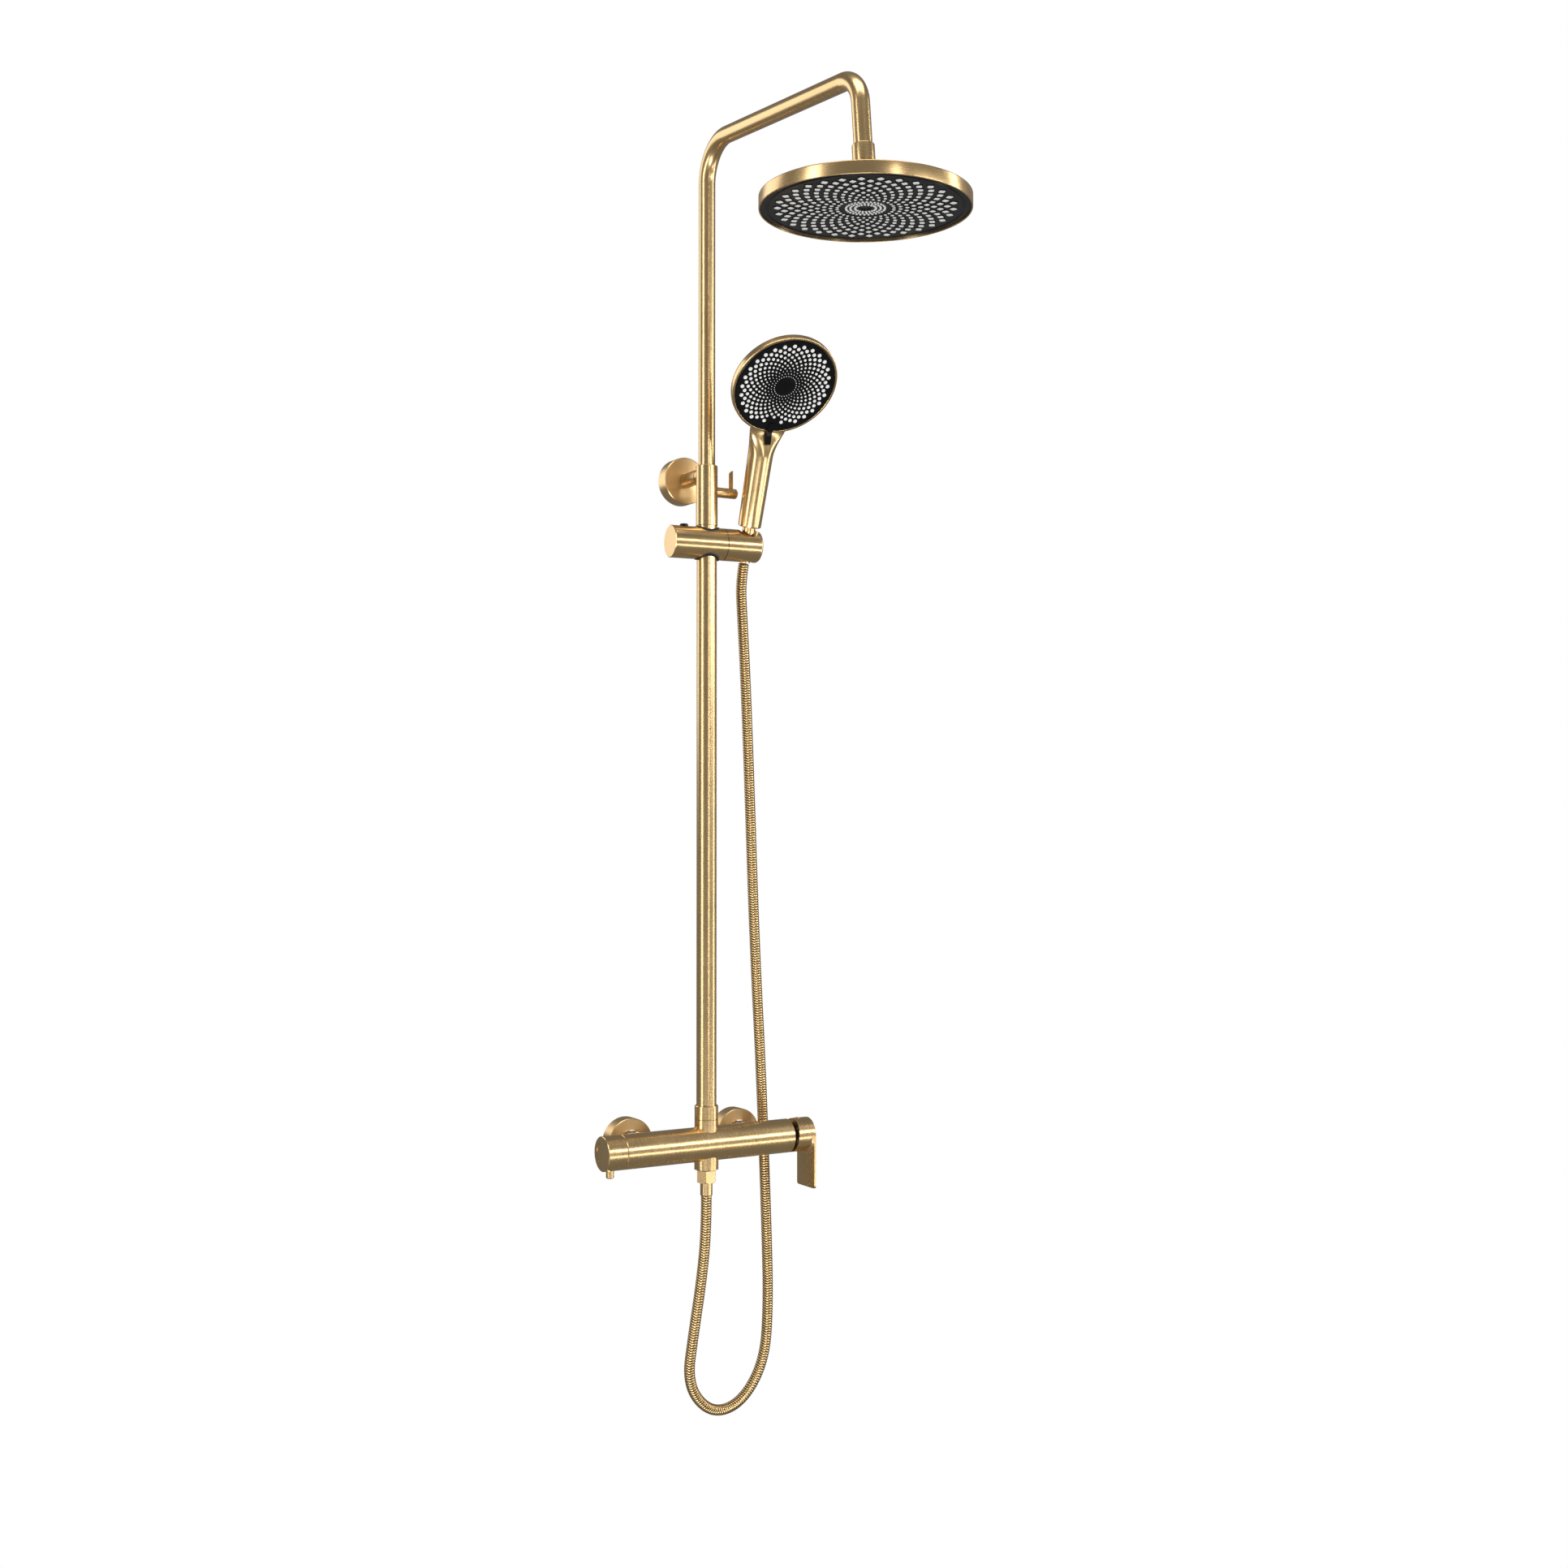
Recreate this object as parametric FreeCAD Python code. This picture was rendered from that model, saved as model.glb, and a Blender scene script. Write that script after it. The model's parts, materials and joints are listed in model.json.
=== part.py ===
import FreeCAD, Part
import math
import os
from FreeCAD import Placement, Rotation, Vector

# Rainfall shower column: thermostatic-style bar mixer, telescopic riser, overhead rose, hand shower and hose.
# Millimetres.  +X runs along the bar to the lever, +Y runs into the wall, +Z is up.
# The origin is midway between the two supply inlets, on the wall's surface.

# ---- fits ----
RUN = 0.08  # radial clearance of a running or sliding fit
GAP = 0.3  # clearance between pieces that move past each other
SEAT = 0.1  # clearance between pieces that are screwed or pushed together
FAR = 400.0  # longer than anything that is cut

# ---- wall inlets ----
INLET_SPACING = 150.0
STUD_R = 10.48
STUD_LENGTH = 18.0
UNION_COLLAR_R = 13.0
UNION_COLLAR_LENGTH = 12.0
UNION_NOSE_R = 9.9
UNION_LENGTH = 25.0
WATERWAY_R = 6.0
WASHER_THICKNESS = 2.0
TAIL_FLANGE = 2.5
TAIL_R = 7.9
TAIL_LENGTH = 21.0
NUT_FLATS = 26.0
NUT_START = 13.5
NUT_CHAMFER = 1.2
VALVE_LENGTH = 14.0
ROSETTE_R = 29.25
ROSETTE_DEPTH = 20.0
ROSETTE_WALL = 1.2
ROSETTE_CONE = 1.2

# ---- bar ----
LOWER_R = 12.15
BAR_OUT = 72.5  # bar axis in front of the wall
BAR_R = 20.7
BAR_HALF = INLET_SPACING / 2 + 39.2
INLET_BOSS_R = 10.0
INLET_BOSS_GAP = 1.0
CARTRIDGE_R = BAR_R - 3.3
CARTRIDGE_DEPTH = 50.0
DIVERTER_R = 12.1
DIVERTER_DEPTH = 36.0
TOP_BOSS_R = LOWER_R + 2.15
TOP_BOSS_Z = BAR_R + 8.9
BOTTOM_BOSS_R = 14.6
BOTTOM_BOSS_Z = BAR_R + 9.7
SOCKET_DEPTH = 15.6

# ---- lever ----
PIVOT_IN = 4.2  # tilt pivot, inboard of the bar's end
DOME_R = 17.5
DOME_WALL = 1.4
DOME_REACH = 6.8
CAP_END = 29.2  # outer face of the lever beyond the bar's end
CAP_RIM = 5.2
CAP_RIM_SLANT = 2.2
PADDLE_THICKNESS = 2.4
PADDLE_DROP = 65.4
PADDLE_CORNER = 3.0
PADDLE_FILLET = 5.0
STEM_R = 4.8
TURRET_R = 9.1
LEVER_PIN_R = 1.5
PLUG_R = 3.6
PLUG_IN = 14.9  # index plug, inboard of the lever's outer face

# ---- diverter knob ----
KNOB_LENGTH = 24.6
KNOB_GAP = 0.5
KNOB_WALL = 3.2
KNOB_END = 4.0
KNOB_HUB_R = 7.0
SPINDLE_R = 4.0
KNOB_PIN_R = 4.7
KNOB_PIN_IN = 10.6
KNOB_PIN_REACH = 29.3
GROOVE_R = 13.5
GROOVE_WIDTH = 1.2
GROOVE_DEPTH = 0.5

# ---- riser ----
LOWER_WALL = 1.55
UPPER_R = LOWER_R - 2.02
UPPER_WALL = 1.2
COLLAR_TOP = TOP_BOSS_Z + 16.9
LOWER_TOP = 776.0
UPPER_BOTTOM = 430.0
CORNER_Z = 1216.8
ARM_FALL = 5.3  # degrees the arm slopes down, going outwards
DROP_LEAN = 5.7  # degrees the drop leans outwards
FIRST_BEND = 46.0
SECOND_BEND = 38.0
END_COLLAR_R = UPPER_R + 2.1
END_COLLAR_START = 16.0  # above the rose's ball, along the drop
END_COLLAR_END = 46.0
PISTON_LENGTH = 24.0
SPIGOT_LENGTH = 15.0
SEAL_HEIGHT = 2.0
SEAL_DEPTH = 0.9

# ---- wall bracket and clamp ----
SLIDER_Z = 727.3
SLIDER_R = 19.6
BRACKET_Z = 812.0
BRACKET_ROSETTE_R = 29.0
BASE_R = 24.0
BASE_THICKNESS = 4.0
SPIGOT_R = 6.9
STEM_OUTER_R = 9.0
SCREW_SPACING = 34.0
SCREW_R = 2.2
SCREW_LENGTH = 28.0
SLEEVE_R = LOWER_R + 0.95
SLEEVE_BOTTOM = SLIDER_Z + SLIDER_R + 1.5
SLEEVE_TOP = 821.8
CLAMP_Z = 791.0
CLAMP_R = 6.1
CLAMP_SEAM = 26.0
CLAMP_END = 40.6
CLAMP_SCREW_R = 3.0
FIN_X = 33.6
FIN_THICKNESS = 2.8
FIN_WIDTH = 5.4
FIN_TOP = 819.0
FIN_SLANT = 3.0

# ---- overhead rose ----
ROSE_OUT = 423.0
ROSE_R = 113.5
ROSE_BOTTOM = 1037.75
ROSE_THICKNESS = 14.2
ROSE_WALL = 1.6
FACE_RECESS = 1.8
FACE_THICKNESS = 2.0
MAT_THICKNESS = 1.4
PLATE_THICKNESS = 1.6
ROSE_SCREWS = 6
ROSE_SCREW_CIRCLE = ROSE_R - 15.5
BALL_R = 9.5
BALL_ABOVE_ROSE = 10.05
BALL_TO_TUBE = 10.4
BALL_NECK_R = 5.0
ROSE_BOSS_R = 12.0
ROSE_NUT_R = 13.0
ROSE_NUT_HALF = 8.0
ROSE_NUT_MOUTH = 7.3

# ---- hand shower slider ----
SLIDER_LEFT = 48.2
SLIDER_SEAM = 20.6
SLIDER_RIGHT = 68.0
SLIDER_YAW = 5.0  # degrees the slider is turned towards the knob
SEAM_WIDTH = 0.8
BUSH_R = LOWER_R + 2.75
BUSH_LENGTH = 13.0
BUSH_PROUD = 0.9
BUTTON_X = 30.0
BUTTON_R = 5.0
BUTTON_PROUD = 2.4
BUTTON_SUNK = 7.0
SPRING_LENGTH = 8.0
SHOE_R = 6.0
SHOE_LENGTH = 10.5
AXLE_R = 4.0
AXLE_END = 37.0
HOLDER_BORE_X = 53.0
HOLDER_ROUND = 3.5

# ---- hand shower ----
LEAN = 21.0  # degrees the handle leans out from the vertical
FACE_TURN = 24.0  # degrees from the handle's square to the spray face's normal
HANDLE_START = 25.0  # along the handle, from the holder's centre
HANDLE_END = 112.0
HANDLE_START_R = 14.1
HANDLE_END_R = 15.3
HANDLE_BORE_R = 10.3
HEAD_R = 65.0
HEAD_FORWARD = 13.06 + HEAD_R * math.sin(math.radians(FACE_TURN))
HEAD_ALONG = 142.72 + HEAD_R * math.cos(math.radians(FACE_TURN))
HEAD_FACE_R = HEAD_R - 2.8
NECK_OVERLAP = 4.0
NECK_END = 162.0
NECK_END_HALF = 26.0
NECK_FRONT_FALL = 0.098  # the neck's front line falls this much for each millimetre along
NECK_BACK_RISE = 17.0
NECK_BORE_R = 4.0
NECK_BORE_LENGTH = 43.5
NECK_BORE_LEAN = 8.7  # degrees the water passage leans towards the head
HEAD_RIM = 7.0
HEAD_DEPTH = 19.8
HEAD_WALL = 2.6
HEAD_EDGE = 0.8
HEAD_RECESS = 4.0
HEAD_DOME_POWER = 2.5
CHAMBER_DEPTH = 5.4
ROTOR_R = 29.0
ROTOR_THICKNESS = 2.3
CONE_TOP = 12.0
CONE_BOTTOM = -17.0
CONE_TOP_R = 11.9
CONE_SLOPE = 0.075
TAIL_NECK_R = 7.9
TAB_HALF = 3.2

# ---- hose ----
HOSE_R = 6.6
OUTLET_R = 9.7
OUTLET_NUT_FLATS = 22.0
OUTLET_NUT_LENGTH = 14.6
FERRULE_R = 7.4
FERRULE_LENGTH = 16.1
GASKET_THICKNESS = 1.2
HOSE_EXIT = -19.6  # along the handle, from the holder's centre

UP = Vector(0, 0, 1)
OUT = Vector(0, -1, 0)
RIGHT = Vector(1, 0, 0)
BAR_CENTRE = Vector(0, -BAR_OUT, 0)


def placed(shape, origin, axis):
    """The shape with its own +Z turned along axis and its own origin moved to origin."""
    moved = shape.copy()
    moved.Placement = Placement(origin, Rotation(UP, axis))
    return moved


def turned(outline, origin, axis):
    """Solid of revolution: outline is a closed list of (distance along the axis, radius)."""
    points = [Vector(radius, 0, along) for along, radius in outline]
    solid = Part.Face(Part.makePolygon(points + points[:1])).revolve(Vector(), UP, 360)
    if solid.Volume < 0:
        solid.reverse()
    return placed(solid, origin, axis)


def rod(radius, start, end, origin, axis):
    """Cylinder between two distances along an axis."""
    return turned([(start, 0), (start, radius), (end, radius), (end, 0)], origin, axis)


def tube(outer, inner, start, end, origin, axis):
    """Ring between two distances along an axis."""
    return turned([(start, inner), (start, outer), (end, outer), (end, inner)], origin, axis)


def hexagon(flats, chamfer, start, end, origin, axis):
    """Hexagonal bar between two distances along an axis, with its far end's corners turned off."""
    corner = flats / 2 / math.cos(math.pi / 6)
    points = [
        Vector(corner * math.cos(k * math.pi / 3), corner * math.sin(k * math.pi / 3), start)
        for k in range(6)
    ]
    bar = Part.Face(Part.makePolygon(points + points[:1])).extrude(Vector(0, 0, end - start))
    flat = flats / 2
    dome = turned([(start, 0), (start, corner), (end - chamfer, corner), (end, flat), (end, 0)], Vector(), UP)
    return placed(bar.common(dome), origin, axis)


def hollow_fillet(size, radius, at, origin):
    """Ring that fills the inner corner between a bar along X and a plate across it, hollow by a quarter circle."""
    foot = Vector(radius - 0.1, 0, at - size)
    start = Vector(radius, 0, at - size)
    centre = Vector(radius + size, 0, at - size)
    middle = centre + Vector(-size, 0, size) * math.sqrt(0.5)
    rim = Vector(radius + size, 0, at)
    sole = Vector(radius + size, 0, at + 0.1)
    heel = Vector(radius - 0.1, 0, at + 0.1)
    outline = Part.Wire([
        Part.LineSegment(foot, start).toShape(), Part.Arc(start, middle, rim).toShape(),
        Part.LineSegment(rim, sole).toShape(), Part.LineSegment(sole, heel).toShape(),
        Part.LineSegment(heel, foot).toShape(),
    ])
    return placed(Part.Face(outline).revolve(Vector(), UP, 360), origin, RIGHT)


def joined(first, *others):
    """One solid from shapes that overlap."""
    return first.multiFuse(list(others)).removeSplitter()


def cut(shape, *tools):
    """The shape with each tool taken away."""
    for tool in tools:
        shape = shape.cut(tool)
    return shape


def swept(points, radii, section):
    """Circular bar of radius section along straight runs through points, with an arc of radii[i] at each corner."""
    edges = []
    start = points[0]
    for before, corner, after, radius in zip(points, points[1:], points[2:], radii):
        inwards = (before - corner).normalize()
        outwards = (after - corner).normalize()
        turn = math.pi - inwards.getAngle(outwards)
        reach = radius * math.tan(turn / 2)
        first = corner + inwards * reach
        last = corner + outwards * reach
        bisector = (inwards + outwards).normalize()
        middle = corner + bisector * (radius / math.cos(turn / 2) - radius)
        edges.append(Part.LineSegment(start, first).toShape())
        edges.append(Part.Arc(first, middle, last).toShape())
        start = last
    edges.append(Part.LineSegment(start, points[-1]).toShape())
    path = Part.Wire(edges)
    direction = (points[1] - points[0]).normalize()
    profile = Part.Wire([Part.Circle(points[0], direction, section).toShape()])
    return path.makePipeShell([profile], True, False), path.Length


def rosette(radius, hole):
    """Drawn cover cup: flat rim on the wall, faintly coned front and a round hole in its middle."""
    wall = ROSETTE_WALL
    shoulder = ROSETTE_DEPTH - ROSETTE_CONE
    return [
        (0, radius - wall),
        (0, radius),
        (shoulder - 0.8, radius),
        (shoulder, radius - 0.8),
        (ROSETTE_DEPTH, hole + 1.0),
        (ROSETTE_DEPTH, hole),
        (ROSETTE_DEPTH - wall - 3.0, hole),
        (ROSETTE_DEPTH - wall - 3.0, hole + 1.0),
        (ROSETTE_DEPTH - wall, hole + 1.0),
        (shoulder - wall, radius - wall),
    ]


def wall_inlets():
    """Lists of the two unions in the wall, their covers, nuts, washers, tails and check valves."""
    nut_hole = NUT_FLATS / 2 / math.cos(math.pi / 6) + GAP
    flange_start = UNION_LENGTH + WASHER_THICKNESS
    flange_end = flange_start + TAIL_FLANGE
    nut_end = BAR_OUT - math.sqrt(BAR_R**2 - INLET_BOSS_R**2) - 14.5
    union = [
        (-STUD_LENGTH, WATERWAY_R),
        (-STUD_LENGTH, STUD_R),
        (0, STUD_R),
        (0, UNION_COLLAR_R),
        (UNION_COLLAR_LENGTH, UNION_COLLAR_R),
        (UNION_COLLAR_LENGTH, UNION_NOSE_R),
        (UNION_LENGTH, UNION_NOSE_R),
        (UNION_LENGTH, WATERWAY_R),
    ]
    tail = [
        (flange_start, WATERWAY_R),
        (flange_start, UNION_NOSE_R - SEAT),
        (flange_end, UNION_NOSE_R - SEAT),
        (flange_end, TAIL_R),
        (flange_end + TAIL_LENGTH, TAIL_R),
        (flange_end + TAIL_LENGTH, WATERWAY_R),
    ]
    groups = {name: [] for name in (
        "inlet_unions", "sealing_washers", "inlet_tails", "check_valves", "inlet_nuts", "wall_rosettes")}
    for side in (-1, 1):
        origin = Vector(side * INLET_SPACING / 2, 0, 0)
        nut = hexagon(NUT_FLATS, NUT_CHAMFER, NUT_START, nut_end, origin, OUT)
        nut = cut(
            nut,
            rod(UNION_NOSE_R + SEAT, NUT_START - 1, flange_end + SEAT, origin, OUT),
            rod(TAIL_R + SEAT, flange_end, nut_end + 1, origin, OUT),
        )
        valve_start = flange_end + 1
        groups["inlet_unions"].append(turned(union, origin, OUT))
        groups["sealing_washers"].append(
            tube(UNION_NOSE_R - SEAT, WATERWAY_R, UNION_LENGTH, flange_start, origin, OUT))
        groups["inlet_tails"].append(turned(tail, origin, OUT))
        groups["check_valves"].append(
            tube(WATERWAY_R - SEAT, WATERWAY_R / 2, valve_start, valve_start + VALVE_LENGTH, origin, OUT))
        groups["inlet_nuts"].append(nut)
        groups["wall_rosettes"].append(turned(rosette(ROSETTE_R, nut_hole), origin, OUT))
    return groups, nut_end


def bar_and_outlets(nut_end):
    """The bar mixer's body with its bosses, the fittings on its outlets, and its rings, washers and screws."""
    nodes = {}
    edge = 0.5
    bar = turned(
        [
            (-BAR_HALF, 0), (-BAR_HALF, BAR_R - edge), (-BAR_HALF + edge, BAR_R),
            (BAR_HALF - edge, BAR_R), (BAR_HALF, BAR_R - edge), (BAR_HALF, 0),
        ],
        BAR_CENTRE, RIGHT)
    boss_start = nut_end + INLET_BOSS_GAP
    tail_end = UNION_LENGTH + WASHER_THICKNESS + TAIL_FLANGE + TAIL_LENGTH
    bosses = [
        rod(TOP_BOSS_R, 0, TOP_BOSS_Z, BAR_CENTRE, UP),
        rod(BOTTOM_BOSS_R, -BOTTOM_BOSS_Z, 0, BAR_CENTRE, UP),
    ]
    holes = [
        rod(CARTRIDGE_R + SEAT, BAR_HALF - CARTRIDGE_DEPTH, BAR_HALF + 1, BAR_CENTRE, RIGHT),
        rod(DIVERTER_R + SEAT, -BAR_HALF - 1, -BAR_HALF + DIVERTER_DEPTH, BAR_CENTRE, RIGHT),
        rod(WATERWAY_R, -BAR_HALF + 1, BAR_HALF - 1, BAR_CENTRE, RIGHT),
        rod(LOWER_R + SEAT, TOP_BOSS_Z - SOCKET_DEPTH, TOP_BOSS_Z + 1, BAR_CENTRE, UP),
        rod(WATERWAY_R + 2, 0, TOP_BOSS_Z, BAR_CENTRE, UP),
        rod(WATERWAY_R, -BOTTOM_BOSS_Z - 1, 0, BAR_CENTRE, UP),
    ]
    for side in (-1, 1):
        origin = Vector(side * INLET_SPACING / 2, 0, 0)
        bosses.append(rod(INLET_BOSS_R, boss_start, BAR_OUT, origin, OUT))
        holes.append(rod(TAIL_R + SEAT, boss_start - 1, tail_end + 1, origin, OUT))
        holes.append(rod(WATERWAY_R - 1, boss_start, BAR_OUT, origin, OUT))
    nodes["mixer_body"] = cut(joined(bar, *bosses), *holes)

    grooves = [TOP_BOSS_Z - SOCKET_DEPTH + 3.5, TOP_BOSS_Z - SOCKET_DEPTH + 9.5]
    rings = [
        tube(LOWER_R + SEAT / 2, LOWER_R - SEAL_DEPTH, low, low + SEAL_HEIGHT, BAR_CENTRE, UP)
        for low in grooves
    ]
    lower = tube(LOWER_R, LOWER_R - LOWER_WALL, TOP_BOSS_Z - SOCKET_DEPTH + SEAT, LOWER_TOP, BAR_CENTRE, UP)
    nodes["lower_tube"] = cut(lower, *[
        tube(LOWER_R + 1, LOWER_R - SEAL_DEPTH, low, low + SEAL_HEIGHT, BAR_CENTRE, UP)
        for low in grooves
    ])
    lip = 1.0
    collar = turned(
        [
            (TOP_BOSS_Z + GAP, LOWER_R + SEAT), (TOP_BOSS_Z + GAP, TOP_BOSS_R - GAP),
            (TOP_BOSS_Z + 2 * GAP, TOP_BOSS_R), (COLLAR_TOP - lip, TOP_BOSS_R),
            (COLLAR_TOP, TOP_BOSS_R - lip / 2), (COLLAR_TOP, LOWER_R + lip / 2),
            (COLLAR_TOP - lip, LOWER_R + SEAT),
        ],
        BAR_CENTRE, UP)
    screw_r = 2.0
    screw_centre = BAR_CENTRE + UP * (COLLAR_TOP + TOP_BOSS_Z) / 2
    wallwards = OUT * -1
    nodes["top_collar"] = cut(collar, rod(screw_r + SEAT, 0, TOP_BOSS_R + 1, screw_centre, wallwards))
    screw = rod(screw_r, LOWER_R + SEAT, TOP_BOSS_R - SEAT, screw_centre, wallwards)

    gasket_end = BOTTOM_BOSS_Z + GASKET_THICKNESS
    nut_low = gasket_end + OUTLET_NUT_LENGTH
    down = UP * -1
    nipple_end = nut_low - 3.5
    nipple = tube(OUTLET_R, WATERWAY_R, 0, nipple_end, BAR_CENTRE, down)
    nodes["mixer_body"] = joined(nodes["mixer_body"], nipple)
    washers = [
        tube(OUTLET_NUT_FLATS / 2, OUTLET_R + SEAT, BOTTOM_BOSS_Z + 0.05, gasket_end - 0.05, BAR_CENTRE, down),
        tube(OUTLET_R - SEAT, WATERWAY_R, nipple_end + 0.05, nipple_end + 1.05, BAR_CENTRE, down),
    ]
    nodes["hose_nut"] = cut(
        hexagon(OUTLET_NUT_FLATS, NUT_CHAMFER, gasket_end, nut_low, BAR_CENTRE, down),
        rod(OUTLET_R + SEAT, gasket_end - 1, nipple_end + 1.1, BAR_CENTRE, down),
        rod(WATERWAY_R, 0, FAR, BAR_CENTRE, down),
    )
    ferrule_end = nut_low + FERRULE_LENGTH
    nodes["hose_ferrule"] = turned(
        [
            (nut_low, 0), (nut_low, FERRULE_R), (ferrule_end - 1.0, FERRULE_R),
            (ferrule_end, FERRULE_R - 0.5), (ferrule_end, 0),
        ],
        BAR_CENTRE, down)
    return nodes, rings, washers, screw, ferrule_end


def lever():
    """Mixing cartridge with its turret, and the lever that tilts for flow and turns for temperature."""
    nodes = {}
    end = Vector(BAR_HALF, -BAR_OUT, 0)
    pivot = end - RIGHT * PIVOT_IN
    shoulder = -8.0
    neck_r = TURRET_R + 3.0
    neck_end = -3.0
    turret_base = -14.0
    slot_base = -11.5
    cartridge = turned(
        [
            (-CARTRIDGE_DEPTH + SEAT, 0), (-CARTRIDGE_DEPTH + SEAT, CARTRIDGE_R), (shoulder, CARTRIDGE_R),
            (shoulder, neck_r), (neck_end, neck_r), (neck_end, 0),
        ],
        end, RIGHT)
    nodes["mixing_cartridge"] = cut(cartridge, rod(TURRET_R + RUN, turret_base - GAP, 0, end, RIGHT))
    nodes["cartridge_nut"] = tube(CARTRIDGE_R, neck_r + SEAT, shoulder + SEAT, -1.4, end, RIGHT)
    dome = cut(Part.makeSphere(DOME_R, pivot), Part.makeSphere(DOME_R - DOME_WALL, pivot))
    nodes["cartridge_cover"] = dome.common(rod(DOME_R + 1, -1.3, DOME_REACH, end, RIGHT))

    slot = Part.makeBox(FAR, 2 * (STEM_R + SEAT), 2 * FAR)
    slot.translate(Vector(BAR_HALF + slot_base, -BAR_OUT - STEM_R - SEAT, -FAR))
    turret = rod(TURRET_R, turret_base, -1.2, end, RIGHT)
    across = Vector(0, 1, 0)
    nodes["cartridge_turret"] = cut(turret, slot, rod(LEVER_PIN_R, -FAR, FAR, pivot, across))
    nodes["lever_pin"] = rod(LEVER_PIN_R, -TURRET_R + 0.8, TURRET_R - 0.8, pivot, across)

    stem_end = CAP_END - 7.0
    stem = rod(STEM_R, -10.0, stem_end, end, RIGHT)
    nodes["lever_stem"] = cut(stem, rod(LEVER_PIN_R + RUN, -FAR, FAR, pivot, across))

    cap = rod(BAR_R, 0, CAP_END, end, RIGHT)
    slant = Part.makeBox(FAR, FAR, FAR)
    slant.translate(Vector(-FAR, -FAR / 2, -FAR / 2))
    slant.Placement = Placement(
        end + RIGHT * CAP_RIM, Rotation(Vector(0, 1, 0), math.degrees(math.atan(CAP_RIM_SLANT / BAR_R)))
    ).multiply(slant.Placement)
    corner = PADDLE_CORNER
    bottom = -PADDLE_DROP
    paddle_x = end.x + CAP_END - PADDLE_THICKNESS
    near, far = -BAR_OUT - BAR_R, -BAR_OUT + BAR_R
    bend = corner * (1 - math.sqrt(0.5))
    outline = Part.Wire([
        Part.LineSegment(Vector(paddle_x, near, 0), Vector(paddle_x, near, bottom + corner)).toShape(),
        Part.Arc(
            Vector(paddle_x, near, bottom + corner), Vector(paddle_x, near + bend, bottom + bend),
            Vector(paddle_x, near + corner, bottom)).toShape(),
        Part.LineSegment(Vector(paddle_x, near + corner, bottom), Vector(paddle_x, far - corner, bottom)).toShape(),
        Part.Arc(
            Vector(paddle_x, far - corner, bottom), Vector(paddle_x, far - bend, bottom + bend),
            Vector(paddle_x, far, bottom + corner)).toShape(),
        Part.LineSegment(Vector(paddle_x, far, bottom + corner), Vector(paddle_x, far, 0)).toShape(),
        Part.LineSegment(Vector(paddle_x, far, 0), Vector(paddle_x, near, 0)).toShape(),
    ])
    paddle = Part.Face(outline).extrude(RIGHT * PADDLE_THICKNESS)
    inside = Part.makeBox(CAP_END, 2 * BAR_R, BAR_R + PADDLE_FILLET)
    inside.translate(Vector(end.x, near, -BAR_R - PADDLE_FILLET))
    handle = joined(cap, paddle, hollow_fillet(PADDLE_FILLET, BAR_R, paddle_x - end.x, end).common(inside))
    cavity_r = DOME_R + 0.8
    plug_centre = end + RIGHT * (CAP_END - PLUG_IN)
    nodes["lever_handle"] = cut(
        handle, slant,
        rod(cavity_r, -PIVOT_IN, CAP_RIM - CAP_RIM_SLANT, end, RIGHT),
        Part.makeSphere(cavity_r, pivot),
        rod(STEM_R + SEAT, 0, stem_end + SEAT, end, RIGHT),
        rod(PLUG_R + SEAT, 0, BAR_R + 1, plug_centre, UP),
    )
    nodes["index_plug"] = rod(PLUG_R, STEM_R + 0.1, BAR_R + 0.2, plug_centre, UP)
    return nodes


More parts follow.
